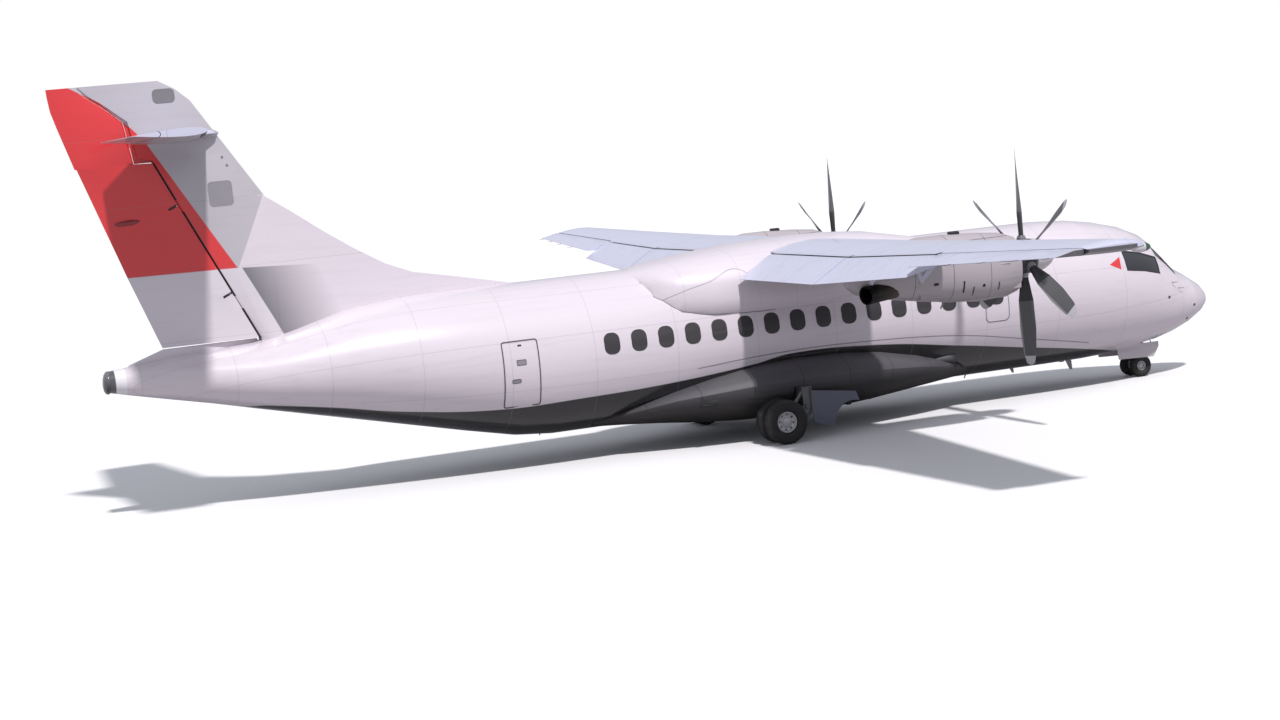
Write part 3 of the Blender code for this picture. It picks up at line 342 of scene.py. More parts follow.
def pick(piece):
    """Makes one piece the only one selected, and the active one."""
    bpy.ops.object.select_all(action="DESELECT")
    piece.select_set(True)
    bpy.context.view_layer.objects.active = piece


def set_places():
    """Works the place, turn and scale of the picked piece into its mesh."""
    bpy.ops.object.transform_apply(location=True, rotation=True, scale=True)


def work_mesh(tool, **settings):
    """Runs one mesh tool on the whole of the active piece."""
    bpy.ops.object.mode_set(mode="EDIT")
    bpy.ops.mesh.select_all(action="SELECT")
    tool(**settings)
    bpy.ops.object.mode_set(mode="OBJECT")


def raise_faces(height):
    """Raises the selected faces along their normals, with walls round them, and ends the edit."""
    bpy.ops.mesh.extrude_region_shrink_fatten(TRANSFORM_OT_shrink_fatten={"value": height})
    bpy.ops.object.mode_set(mode="OBJECT")


def hit(piece, start, way):
    """The point where a straight line first meets a piece."""
    return piece.ray_cast(Vector(start), Vector(way))[1]


def copy_of(members):
    """Copies of solids, joined into one piece whose corners are merged."""
    bpy.ops.object.select_all(action="DESELECT")
    for member in members:
        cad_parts[member].select_set(True)
    bpy.context.view_layer.objects.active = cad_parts[members[0]]
    bpy.ops.object.duplicate()
    if len(members) > 1:
        bpy.ops.object.join()
    piece = bpy.context.object
    piece.parent = None
    for note in list(piece.keys()):
        del piece[note]
    bpy.ops.mesh.customdata_custom_splitnormals_clear()
    bpy.ops.object.mode_set(mode="EDIT")
    bpy.ops.mesh.select_all(action="SELECT")
    bpy.ops.mesh.remove_doubles(threshold=0.0009 if len(members) > 1 else 0.00005)
    bpy.ops.mesh.tris_convert_to_quads(face_threshold=0.2, shape_threshold=0.7)
    bpy.ops.object.mode_set(mode="OBJECT")
    return piece


def settle(piece, name, body, slot, *finishes, crease=32.0):
    """Fixes a finished piece in its place, with its paint and its body; the slot is not used."""
    pick(piece)
    for modifier in list(piece.modifiers):
        bpy.ops.object.modifier_apply(modifier=modifier.name)
    set_places()
    bpy.ops.object.shade_smooth_by_angle(angle=math.radians(crease))
    piece.name = name
    places = [face.material_index for face in piece.data.polygons]
    piece.data.materials.clear()
    for finish in finishes:
        piece.data.materials.append(finish)
    for face, place in zip(piece.data.polygons, places):
        face.material_index = place if place < len(finishes) else 0
    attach(piece, body)
    return piece


def smooth_copy(name, members, body, slot, *finishes, crease=32.0):
    """One smooth-shaded copy of some solids, shown in their place."""
    piece = copy_of(members)
    for face in piece.data.polygons:
        face.material_index = 0
    settle(piece, name, body, slot, *finishes, crease=crease)
    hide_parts(*members)
    return piece


def pick_faces(piece, wanted):
    """Enters edit mode with just the wanted faces selected."""
    pick(piece)
    bpy.ops.object.mode_set(mode="EDIT")
    bpy.ops.mesh.select_mode(type="FACE")
    bpy.ops.mesh.select_all(action="DESELECT")
    bpy.ops.object.mode_set(mode="OBJECT")
    for face in piece.data.polygons:
        face.select = wanted(face)
    bpy.ops.object.mode_set(mode="EDIT")


hull_paint, x, y, z = start_finish("hull_paint", coat=0.6)
ring_joint, ring_rivets = joints_on(x, hull_arc(y, z), 1.59)
lap_joint, lap_rivets = joints_on(hull_arc(y, z), x, 0.92)
hull_joint = ring_joint | lap_joint
hull_rivets = ring_rivets | lap_rivets
RED_MARK = ((8.432, 2.434), (8.690, 2.310), (8.725, 2.560))
red_mark = abs(y) > 0.9
for start, end in zip(RED_MARK, RED_MARK[1:] + RED_MARK[:1]):
    red_mark = red_mark * left_of(x, z, start, end)
hull_colour = lay(
    WHITE,
    (CHARCOAL, (line_level(x, BELLY_LINE) - z).ramp(-0.008, 0.008)),
    (RED, red_mark),
    ((0.33, 0.31, 0.32, 1.0), near_line(x, z, THIN_LINE, 0.011)),
    ((0.88, 0.86, 0.90, 1.0), x.ramp(-10.575, -10.585)),
    ((0.10, 0.10, 0.11, 1.0), x.ramp(-10.755, -10.765)),
    (SEAM_TONE, hull_joint * 0.35),
    (SEAM_TONE, hull_rivets * 0.25))
end_finish(hull_paint, hull_colour, 0.10, 0.24, ((hull_joint, 0.0010), (hull_rivets, 0.0004)))
HULL_SECTIONS = (
    "radome", "cockpit_section", "forward_fuselage", "centre_fuselage", "rear_fuselage", "tail_cone")
hull = smooth_copy("fuselage_shell", HULL_SECTIONS, "airframe", "white_paint", hull_paint)
HULL_JOINTS = (10.75, 8.20, 3.60, -1.60, -8.30)
pick_faces(hull, lambda face: abs(face.normal.x) > 0.98 and any(
    abs(face.center.x - at) < 0.003 for at in HULL_JOINTS))
bpy.ops.mesh.delete(type="FACE")
bpy.ops.mesh.select_all(action="SELECT")
bpy.ops.mesh.remove_doubles(threshold=0.0009)
bpy.ops.object.mode_set(mode="OBJECT")
bpy.ops.object.shade_smooth_by_angle(angle=math.radians(30.0))


# The doors in the shell are plates of the same skin and take the same paint,
# so the joints and the belly line run across them.
for door, body in (
        ("airstair_door", "airstair"), ("cargo_door", "cargo_door"), ("service_door", "airframe")):
    smooth_copy(door + "_skin", (door,), body, "white_paint", hull_paint)
gear_door_paint = plain_finish("gear_door_paint", (0.62, 0.58, 0.61, 1.0), 0.25, 0.32, coat=0.4)
for side in ("L", "R"):
    smooth_copy(
        "nose_gear_door_skin_" + side, ("nose_door_" + side,), "airframe", "white_paint", gear_door_paint)

# Rubber seals lie round the doors and the escape hatches: flat dark strips with
# rounded corners, bonded to the skin just outside each opening.
SEAL_BAND = 0.022
SEAL_THICK = 0.004
SIDE_AWAY = 1.75
HATCH_STATION = 5.790
SKIN_CORNERS = [AXIS_Z + HULL_RADIUS * math.sin(math.radians(9.0 * step)) for step in range(-8, 9)]
CLOSE_LEVELS = [0.03 * step for step in range(20, 270)]
seal_finish = plain_finish("seal_rubber", (0.105, 0.098, 0.105, 1.0), 0.25, 0.62)


def new_piece(shape, scale=(1.0, 1.0, 1.0), **settings):
    """A basic form with its place, turn and scale worked into its mesh."""
    bpy.ops.object.select_all(action="DESELECT")
    shape(**settings)
    piece = bpy.context.object
    piece.scale = scale
    set_places()
    return piece


def rounded_plate(width, height, corner, steps, place, facing):
    """A flat plate with rounded corners."""
    piece = new_piece(
        bpy.ops.mesh.primitive_plane_add, (width, height, 1.0), size=1.0, location=place, rotation=facing)
    work_mesh(bpy.ops.mesh.bevel, offset=corner, segments=steps, affect="VERTICES")
    return piece


def upright_plate(x, z, width, height, corner, side, away=SIDE_AWAY):
    """A rounded plate that stands beside the airliner on one side."""
    facing = (math.pi / 2, 0, 0 if side < 0 else math.pi)
    return rounded_plate(width, height, corner, 5, (x, side * away, z), facing)


def inset_ring(piece, band, hollow):
    """A border round a plate; its middle is cut out, or kept as a second finish."""
    bpy.ops.object.mode_set(mode="EDIT")
    bpy.ops.mesh.select_all(action="SELECT")
    bpy.ops.mesh.inset(thickness=band)
    if hollow:
        bpy.ops.mesh.delete(type="FACE")
    bpy.ops.object.mode_set(mode="OBJECT")
    for face in piece.data.polygons:
        face.material_index = 1 if face.select and not hollow else 0


def cut_at_corners(piece, levels):
    """Cuts a plate at the heights where the skin bends, so that it can follow the skin."""
    low = min(vertex.co.z for vertex in piece.data.vertices)
    high = max(vertex.co.z for vertex in piece.data.vertices)
    bpy.ops.object.mode_set(mode="EDIT")
    for level in levels:
        if low + 0.002 < level < high - 0.002:
            bpy.ops.mesh.select_all(action="SELECT")
            bpy.ops.mesh.bisect(plane_co=(0, 0, level), plane_no=(0, 0, 1))
    bpy.ops.object.mode_set(mode="OBJECT")


def press_on(piece, skin, way, lift=0.0015):
    """Presses a thin sheet on to a skin along one direction, a little proud of it."""
    pick(piece)
    wrap = piece.modifiers.new("press", "SHRINKWRAP")
    wrap.target = skin
    wrap.wrap_method = "PROJECT"
    wrap.use_project_x = way == "X"
    wrap.use_project_y = way == "Y"
    wrap.use_project_z = way == "Z"
    wrap.use_negative_direction = True
    wrap.use_positive_direction = True
    wrap.offset = lift
    bpy.ops.object.modifier_apply(modifier="press")


def thicken(piece, depth, offset=1.0):
    """Gives a sheet its thickness: outwards, or half to each side where the offset is 0."""
    bpy.context.view_layer.objects.active = piece
    wall = piece.modifiers.new("wall", "SOLIDIFY")
    wall.thickness = depth
    wall.offset = offset
    bpy.ops.object.modifier_apply(modifier="wall")


def seal_round(name, x, z, width, height, corner, side, band=SEAL_BAND):
    """A dark strip with rounded corners on the side of the fuselage."""
    piece = upright_plate(x, z, width + 2 * band, height + 2 * band, corner + band, side)
    inset_ring(piece, band, True)
    cut_at_corners(piece, CLOSE_LEVELS)
    press_on(piece, hull, "Y", 0.0012)
    thicken(piece, SEAL_THICK)
    return settle(piece, name, "airframe", "grey_paint", seal_finish)


seal_round("service_door_seal", -3.795, 1.820, 0.640, 1.170, 0.030, -1)
seal_round("airstair_seal", -3.800, 2.266, 0.670, 1.698, 0.030, 1)
seal_round("cargo_door_seal", 7.0975, 1.9375, 1.325, 1.603, 0.030, 1)
for side, word in ((1, "left"), (-1, "right")):
    seal_round("escape_hatch_seal_" + word, HATCH_STATION, 2.100, 0.490, 0.910, 0.090, side, band=0.011)

# Fifteen cabin windows a side and one in each escape hatch: dark acrylic panes
# in sealed alloy frames that stand a little proud of the skin.
WINDOW_FIRST = -2.060
WINDOW_STEP = 0.525
WINDOW_COUNT = 15
WINDOW_LEVEL = 2.160
WINDOW_WIDTH = 0.300
WINDOW_HEIGHT = 0.390
WINDOW_CORNER = 0.125
WINDOW_FRAME = 0.020
pane_finish, x, y, z = start_finish("cabin_pane")
pane_finish.node_tree.nodes["Principled BSDF"].inputs["Specular IOR Level"].default_value = 0.30
# Painted shade: each pane is painted darker low down and lighter towards its top, as the shade inside the
# cabin behind it.
pane_with_inner_shade = lay((0.020, 0.022, 0.030, 1.0), ((0.030, 0.036, 0.050, 1.0), z.ramp(1.99, 2.33)))
end_finish(pane_finish, pane_with_inner_shade, 0.04, 0.12)
frame_finish = plain_finish("window_frame", (0.040, 0.038, 0.043, 1.0), 0.2, 0.50)


def cabin_window(x, side):
    """One rounded pane in its frame, cut so that it follows the round of the cabin wall."""
    piece = upright_plate(x, WINDOW_LEVEL, WINDOW_WIDTH, WINDOW_HEIGHT, WINDOW_CORNER, side)
    inset_ring(piece, WINDOW_FRAME, False)
    cut_at_corners(piece, SKIN_CORNERS)
    return piece


for side, word in ((1, "left"), (-1, "right")):
    row = cabin_window(WINDOW_FIRST, side)
    copies = row.modifiers.new("row", "ARRAY")
    copies.use_relative_offset = False
    copies.use_constant_offset = True
    copies.constant_offset_displace = (WINDOW_STEP, 0.0, 0.0)
    copies.count = WINDOW_COUNT
    bpy.ops.object.modifier_apply(modifier="row")
    cabin_window(HATCH_STATION, side)
    row.select_set(True)
    bpy.ops.object.join()
    row = bpy.context.object
    press_on(row, hull, "Y")
    pick_faces(row, lambda face: face.material_index == 0)
    raise_faces(0.005)
    settle(row, "cabin_windows_" + word, "airframe", "cockpit_glass", frame_finish, pane_finish)

# Door fittings: shallow dishes with flush alloy levers, the port high in the
# cabin door, and blank grab plates, all screwed to their door.
lever_finish = plain_finish("door_lever", (0.40, 0.40, 0.42, 1.0), 0.3, 0.35, metallic=0.6)
dish_finish = plain_finish("lever_dish", (0.30, 0.285, 0.30, 1.0), 0.35, 0.45, coat=0.2)
DOOR_FITTINGS = (
    ("service_door", "airframe", -3.795, 2.335, 0.075, 0.030, 0.012, -1, frame_finish),
    ("service_door", "airframe", -3.795, 2.030, 0.180, 0.100, 0.020, -1, dish_finish),
    ("service_door", "airframe", -3.905, 1.700, 0.170, 0.075, 0.030, -1, dish_finish),
    ("airstair_door", "airstair", -3.800, 2.780, 0.220, 0.280, 0.090, 1, pane_finish),
    ("airstair_door", "airstair", -3.620, 2.330, 0.190, 0.090, 0.040, 1, dish_finish),
    ("cargo_door", "cargo_door", 7.100, 1.330, 0.240, 0.100, 0.040, 1, dish_finish),
    ("cargo_door", "cargo_door", 6.620, 1.330, 0.110, 0.110, 0.050, 1, dish_finish),
)


WIDE_PLATE = 0.2
WIDE_CUTS = 12


def side_plate(x, z, width, height, corner, side, skin, rim=0.008, rise=0.004, away=SIDE_AWAY):
    """A small rounded plate with a rim, pressed on a skin at one side. Off the fuselage,
    a wide one is also cut across, so that it follows the skin both ways."""
    piece = upright_plate(x, z, width, height, corner, side, away)
    inset_ring(piece, rim, False)
    cut_at_corners(piece, CLOSE_LEVELS)
    if width > WIDE_PLATE and away != SIDE_AWAY:
        for step in range(1, WIDE_CUTS):
            cut = x + width * (step / WIDE_CUTS - 0.5)
            work_mesh(bpy.ops.mesh.bisect, plane_co=(cut, 0, 0), plane_no=(1, 0, 0))
    press_on(piece, skin, "Y")
    pick_faces(piece, lambda face: face.material_index == 0)
    raise_faces(rise)
    return piece


def block(place, size, edge=0.2, segments=2, turned=(0.0, 0.0, 0.0)):
    """A solid block with rounded edges, the size of the rounding as a share of its least side."""
    piece = new_piece(bpy.ops.mesh.primitive_cube_add, size, size=1.0, location=place, rotation=turned)
    work_mesh(bpy.ops.mesh.bevel, offset=edge * min(size), segments=segments)
    return piece


def joined(members):
    """Several pieces of one thing made into one."""
    bpy.ops.object.select_all(action="DESELECT")
    for member in members:
        member.select_set(True)
    bpy.context.view_layer.objects.active = members[0]
    bpy.ops.object.join()
    return bpy.context.object


for number, (door, body, x, z, width, height, corner, side, fill) in enumerate(DOOR_FITTINGS):
    skin = bpy.data.objects[door + "_skin"]
    plate = side_plate(x, z, width, height, corner, side, skin)
    settle(plate, "door_fitting_%d" % (number + 1), body, "grey_paint", frame_finish, fill)
    if fill is dish_finish and height < 0.095:
        depth = abs(plate.data.vertices[0].co.y)
        lever = block((x, side * (depth + 0.006), z), (width * 0.62, 0.012, 0.022), 0.3)
        settle(lever, "door_lever_%d" % (number + 1), body, "gear_steel", lever_finish)

# The cockpit glazing: heated laminated panes, dark from outside, clamped
# in black frames, with posts between the panes of the windscreen.
glass_finish, x, y, z = start_finish("cockpit_glass", coat=1.0)
# Painted reflection: the glass is painted lighter towards the top, as the pale sky shining in it.
glass_with_painted_sheen = lay((0.018, 0.019, 0.022, 1.0), ((0.050, 0.056, 0.070, 1.0), z.ramp(2.3, 3.0)))
end_finish(glass_finish, glass_with_painted_sheen, 0.04, 0.06)
black_paint_and_vent_shade = plain_finish("anti_glare_black_and_vent_shade", (0.030, 0.029, 0.030, 1.0), 0.2, 0.45, coat=0.1)
POSTS = ((0.0, 0.030), (0.62, 0.030), (-0.62, 0.030))


def outer_face(node):
    """A copy of a pane in edit mode, with all but its outer face taken away."""
    piece = copy_of((node,))
    pick_faces(piece, lambda face: face.normal.dot(Vector((0, face.center.y, face.center.z - AXIS_Z))) < 0.25
               or abs(face.normal.x) > 0.90)
    bpy.ops.mesh.delete(type="FACE")
    return piece


def glass_frame(node, band):
    """The black clamping frame round one pane."""
    piece = outer_face(node)
    bpy.ops.mesh.select_all(action="SELECT")
    bpy.ops.mesh.inset(thickness=band, use_boundary=True)
    bpy.ops.mesh.delete(type="FACE")
    bpy.ops.object.mode_set(mode="OBJECT")
    return piece


def glass_post(node, y, half):
    """A post across the windscreen, cut from a copy of the pane."""
    piece = outer_face(node)
    for level, inner in ((y - half, True), (y + half, False)):
        work_mesh(bpy.ops.mesh.bisect, plane_co=(0, level, 0), plane_no=(0, 1, 0),
                  clear_inner=inner, clear_outer=not inner)
    return piece


for pane in ("windscreen", "side_window_L", "side_window_R"):
    border = glass_frame(pane, 0.028)
    if pane == "windscreen":
        border = joined([border] + [glass_post(pane, y, half) for y, half in POSTS])
    thicken(border, 0.006)
    settle(border, pane + "_frame", "airframe", "cockpit_glass", black_paint_and_vent_shade)
    smooth_copy(pane + "_pane", (pane,), "airframe", "cockpit_glass", glass_finish)

# Small fittings of the nose and the cabin: two wipers parked below the windscreen,
# air data probes and ports, and blade antennas, of alloy and painted resin.
probe_finish = plain_finish("probe_metal", (0.36, 0.35, 0.35, 1.0), 0.3, 0.38, metallic=0.7)


def on_skin(x, degrees, out=0.0):
    """A point on the fuselage at a station and an angle up from the left side, a little outside it."""
    way = Vector((0.0, math.cos(math.radians(degrees)), math.sin(math.radians(degrees))))
    return hit(hull, Vector((x, 0.0, AXIS_Z)) + way * 4.0, -way) + way * out


def rod(start, end, radius, sides=12, narrow=1.0):
    """A round bar from one point to another, with its ends rounded off."""
    start, end = Vector(start), Vector(end)
    bpy.ops.object.select_all(action="DESELECT")
    bpy.ops.mesh.primitive_cone_add(vertices=sides, radius1=radius, radius2=radius * narrow,
                                    depth=(end - start).length, location=(start + end) / 2)
    piece = bpy.context.object
    piece.rotation_mode = "QUATERNION"
    piece.rotation_quaternion = (end - start).to_track_quat("Z", "Y")
    set_places()
    bpy.ops.object.mode_set(mode="EDIT")
    bpy.ops.mesh.select_all(action="DESELECT")
    bpy.ops.mesh.select_face_by_sides(number=sides, type="EQUAL")
    bpy.ops.mesh.inset(thickness=radius * narrow * 0.25)
    bpy.ops.object.mode_set(mode="OBJECT")
    return piece


for side, word in ((1, "left"), (-1, "right")):
    foot = on_skin(10.36, 90.0 - side * 16.0, 0.012)
    tip = on_skin(9.98, 90.0 - side * 34.0, 0.020)
    blade_foot = on_skin(10.16, 90.0 - side * 40.0, 0.016)
    blade_tip = on_skin(9.84, 90.0 - side * 24.0, 0.016)
    arms = [rod(foot, tip, 0.009), rod(blade_foot, blade_tip, 0.011), block(foot, (0.06, 0.05, 0.035))]
    settle(joined(arms), "wiper_" + word, "airframe", "gear_steel", black_paint_and_vent_shade)
    probes = []
    for x, degrees in ((10.22, -12.0), (10.04, -3.0)):
        at = 90.0 - side * (90.0 - degrees)
        root, head = on_skin(x, at, -0.01), on_skin(x, at, 0.055)
        probes += [rod(root, head, 0.009, narrow=0.8),
                   rod(head, head + Vector((0.10, 0, 0)), 0.008, narrow=0.6)]
    settle(joined(probes), "air_data_probes_" + word, "airframe", "gear_steel", probe_finish)
    for number, (x, z) in enumerate(((10.700, 1.365), (10.554, 1.099), (9.90, 1.62))):
        port = side_plate(x, z, 0.070, 0.055, 0.025, side, hull, rim=0.010, rise=0.003)
        name = "static_port_%s_%d" % (word, number + 1)
        settle(port, name, "airframe", "gear_steel", probe_finish, frame_finish)


def blade_antenna(name, x, height, length, thick):
    """A swept blade below the belly, on a foot: bevelled, narrowed and swept back at its end."""
    root = on_skin(x, -90.0, -0.01)
    down = (root - Vector((x, 0.0, AXIS_Z))).normalized()
    piece = new_piece(bpy.ops.mesh.primitive_cube_add, size=1.0, location=(0, 0, 0.5))
    for corner in piece.data.vertices:
        top = corner.co.z > 0.5
        corner.co.x = corner.co.x * length * (0.45 if top else 1.0) - (length * 0.42 if top else 0.0)
        corner.co.y = corner.co.y * thick * (0.6 if top else 1.0)
        corner.co.z = height if top else 0.0
    work_mesh(bpy.ops.mesh.bevel, offset=thick * 0.28, segments=3)
    piece.rotation_mode = "QUATERNION"
    piece.rotation_quaternion = Vector((0, 0, 1)).rotation_difference(down)
    piece.location = root
    foot = block(root + down * 0.010, (length * 1.15, thick * 2.4, 0.012), 0.3)
    return settle(joined([piece, foot]), name, "airframe", "white_paint", antenna_finish)


antenna_finish = plain_finish("antenna_paint", (0.70, 0.66, 0.70, 1.0), 0.15, 0.30, coat=0.4)
blade_antenna("antenna_belly_front", 8.05, 0.20, 0.24, 0.028)
blade_antenna("antenna_belly_middle", 6.75, 0.10, 0.16, 0.024)

# The fairing that carries the wing over the cabin roof: a glass-fibre shell
# in the same white, screwed on all round, with a bead of sealant along its edge.
FAIRING_CREASE_SHADE = (
    (-1.070, 2.650), (-0.985, 2.754), (-0.697, 2.887), (-0.109, 3.042), (0.643, 3.181), (0.927, 3.205))
FAIRING_FOOT = ((-1.070, 2.650), (-0.960, 2.540), (-0.330, 2.480), (0.520, 2.410))
FAIRING_LINE_HALF = 0.009
fairing_paint, x, y, z = start_finish("fairing_paint", coat=0.3)
fairing_joint, fairing_rivets = joints_on(x, z, 1.1)
# The dark line along the crease of the fairing is painted shade; the dark line along its foot is the
# sealant.
crease, foot = (near_line(x, z, rows, FAIRING_LINE_HALF) for rows in (FAIRING_CREASE_SHADE, FAIRING_FOOT))
fairing_colour = lay(WHITE, (SEAM_TONE, (crease | foot) * 0.7), (SEAM_TONE, fairing_joint * 0.3))
end_finish(fairing_paint, fairing_colour, 0.08, 0.36, ((fairing_joint, 0.001), (fairing_rivets, 0.0005)))
fairing = smooth_copy(
    "wing_root_fairing", ("wing_fairing",), "airframe", "white_paint", fairing_paint, crease=40.0)


def bead(points, radius):
    """A round bead or pipe through a row of points, drawn point by point and given its thickness."""
    new_piece(bpy.ops.mesh.primitive_plane_add, size=0.01)
    bpy.ops.object.mode_set(mode="EDIT")
    bpy.ops.mesh.select_mode(type="VERT")
    bpy.ops.mesh.select_all(action="SELECT")
    bpy.ops.mesh.merge(type="CENTER")
    bpy.ops.transform.translate(value=Vector(points[0]))
    for start, end in zip(points, points[1:]):
        bpy.ops.mesh.extrude_region_move(TRANSFORM_OT_translate={"value": Vector(end) - Vector(start)})
    bpy.ops.object.mode_set(mode="OBJECT")
    bpy.ops.object.convert(target="CURVE")
    piece = bpy.context.object
    piece.data.bevel_depth = radius
    piece.data.bevel_resolution = 2
    piece.data.use_fill_caps = True
    bpy.ops.object.convert(target="MESH")
    return bpy.context.object


def fairing_edge(x, side):
    """The point where the fairing runs into the side of the fuselage at one station."""
    way = Vector((0.0, -side, 0.0))
    for step in range(110):
        start = Vector((x, side * 3.0, 3.32 - 0.01 * step))
        near, place = fairing.ray_cast(start, way)[:2]
        skin, under = hull.ray_cast(start, way)[:2]
        if skin and (not near or abs(place.y) < abs(under.y)):
            break
    return under


sealant = plain_finish("sealant", (0.24, 0.22, 0.23, 1.0), 0.3, 0.55)
for side, word in ((1, "left"), (-1, "right")):
    edge = bead([fairing_edge(-1.20 + 0.15 * step, side) for step in range(38)], 0.008)
    settle(edge, "fairing_sealant_" + word, "airframe", "grey_paint", sealant, crease=60.0)

# The belly fairing with the wheel blisters: charcoal satin paint on composite,
# streaked by the airflow, and painted darker low down as painted shade.
belly_paint, x, y, z = start_finish("belly_paint")
belly_joint, belly_rivets = joints_on(x, z, 0.95, 0.005)
# Painted shade: the charcoal is painted darker towards the bottom, where the underside faces away from the
# lamp.
belly_colour = lay((0.088, 0.086, 0.096, 1.0), ((0.024, 0.023, 0.024, 1.0), z.ramp(1.02, 0.70)),
                   ((0.015, 0.015, 0.015, 1.0), belly_joint))
end_finish(belly_paint, belly_colour, 0.25, 0.54, ((belly_joint, 0.0015), (belly_rivets, 0.0005)))
belly = smooth_copy("belly_blister_fairing", ("belly_fairing",), "airframe", "belly_paint", belly_paint)
leg_door_paint = plain_finish("leg_door_paint", (0.115, 0.130, 0.185, 1.0), 0.25, 0.36, coat=0.3)
for side in ("L", "R"):
    door = "main_leg_door_" + side
    smooth_copy("leg_door_skin_" + side, (door,), "airframe", "belly_paint", leg_door_paint)

# Lamps and outlets of the belly: a landing lamp in each blister nose behind clear
# glass, a red beacon dome, bonded drain masts, and a vent with slats in each flank.
beacon_glass = plain_finish("red_lamp_glass", (0.45, 0.012, 0.012, 1.0), 0.05, 0.12, coat=1.0)


def spun(profile, centre, way, steps=32):
    """A turned piece: a closed outline of (along, radius) points, spun about an axis."""
    piece = new_piece(
        bpy.ops.mesh.primitive_circle_add, vertices=len(profile), radius=1.0, fill_type="NOTHING")
    for corner, (along, radius) in zip(piece.data.vertices, profile):
        corner.co = (radius, 0.0, along)
    work_mesh(bpy.ops.mesh.spin, steps=steps, angle=math.tau, center=(0, 0, 0), axis=(0, 0, 1))
    work_mesh(bpy.ops.mesh.remove_doubles, threshold=0.00005)
    work_mesh(bpy.ops.mesh.normals_make_consistent, inside=False)
    piece.rotation_mode = "QUATERNION"
    piece.rotation_quaternion = Vector((0, 0, 1)).rotation_difference(Vector(way))
    piece.location = centre
    set_places()
    return piece


LAMP_HOUSING = [(-0.420, 0.0), (-0.420, 0.050), (-0.200, 0.088), (-0.010, 0.100), (0.0, 0.096), (0.0, 0.086),
                (-0.030, 0.080), (-0.050, 0.060), (-0.060, 0.0)]
LAMP_COVER = [(-0.026, 0.0), (-0.026, 0.080), (-0.018, 0.080), (-0.012, 0.050), (-0.008, 0.0)]
LAMP_CENTRE = Vector((4.960, 1.075, 1.015))
VENT_AT = (-0.35, 0.86)
for side, word in ((1, "left"), (-1, "right")):
    centre = LAMP_CENTRE * Vector((1, side, 1))
    housing = spun(LAMP_HOUSING, centre, (1, 0, 0), 28)
    settle(housing, "landing_lamp_" + word, "airframe", "belly_paint", belly_paint, crease=40.0)
    cover = spun(LAMP_COVER, centre, (1, 0, 0), 28)
    settle(cover, "landing_lamp_glass_" + word, "airframe", "cockpit_glass", pane_finish)
    # Behind the slats the vent is a flat black plate: painted shade of the opening.
    vent = [side_plate(*VENT_AT, 0.34, 0.16, 0.04, side, belly, rim=0.012, rise=0.006)]
    at = hit(belly, (VENT_AT[0], side * 4.0, VENT_AT[1]), (0, -side, 0))
    for level in (-0.045, -0.015, 0.015, 0.045):
        vent.append(block((VENT_AT[0], at.y, at.z + level), (0.30, 0.016, 0.010), 0.3))
    settle(joined(vent), "flank_vent_" + word, "airframe", "belly_paint", belly_paint, black_paint_and_vent_shade)
BEACON_DOME = [(0.0, 0.0), (0.0, 0.075), (0.025, 0.075), (0.055, 0.066), (0.085, 0.040), (0.098, 0.0)]
foot = hit(belly, (3.60, 0, -1), (0, 0, 1)) + Vector((0, 0, 0.01))
dome = spun(BEACON_DOME, foot, (0, 0, -1))
settle(dome, "belly_beacon", "airframe", "cockpit_glass", beacon_glass)
drain = [rod((5.90, 0.18, 0.62), (5.78, 0.18, 0.42), 0.014, narrow=0.8),
         rod((-3.10, 0.0, 0.66), (-3.18, 0.0, 0.50), 0.014, narrow=0.8)]
settle(joined(drain), "drain_masts", "airframe", "gear_steel", probe_finish)

# The wing: aluminium boxes in pale lavender-grey satin, painted darker beneath
# as painted shade, with chordwise and spanwise skin joints.
WING_TOP = (0.70, 0.71, 0.87, 1.0)
WING_UNDER_SHADE = (0.38, 0.37, 0.39, 1.0)
wing_paint, x, y, z = start_finish("wing_paint", coat=0.3)
chord_joint, chord_rivets = joints_on(y, x, 1.02)
span_joint, span_rivets = joints_on(x, y, 0.86)
wing_joint = chord_joint | span_joint
wing_rivets = chord_rivets | span_rivets
facing = x.tree.nodes.new("ShaderNodeSeparateXYZ")
x.tree.links.new(x.tree.nodes.new("ShaderNodeNewGeometry").outputs["Normal"], facing.inputs[0])
facing_up = Level(x.tree, facing.outputs["Z"])
# Painted shade: the end face of the wing tip, below the cap and behind the lens, is painted dark grey as the
# shade on it.
tip_end_shade = (abs(y) > 12.175) * z.ramp(3.675, 3.660) * x.ramp(2.270, 2.255)
# Painted shade: faces that look downwards take the darker underside colour.
wing_colour = lay(
    WING_UNDER_SHADE,
    (WING_TOP, facing_up.ramp(-0.25, -0.05)),
    ((0.115, 0.110, 0.120, 1.0), tip_end_shade),
    (SEAM_TONE, wing_joint * 0.5),
    (SEAM_TONE, wing_rivets * 0.25))
end_finish(wing_paint, wing_colour, 0.14, 0.34, ((wing_joint, 0.001), (wing_rivets, 0.0004)))

# Rubber boots on the leading edges, inflated to break off ice: black sheets
# bonded over the nose of the skin, divided across every metre.
boot_finish, x, y, z = start_finish("boot_rubber")
boot_joint = joints_on(y, x, 1.12, 0.006)[0]
boot_colour = lay((0.032, 0.031, 0.033, 1.0), ((0.090, 0.088, 0.090, 1.0), boot_joint))
end_finish(boot_finish, boot_colour, 0.35, 0.55, ((boot_joint, 0.001),))


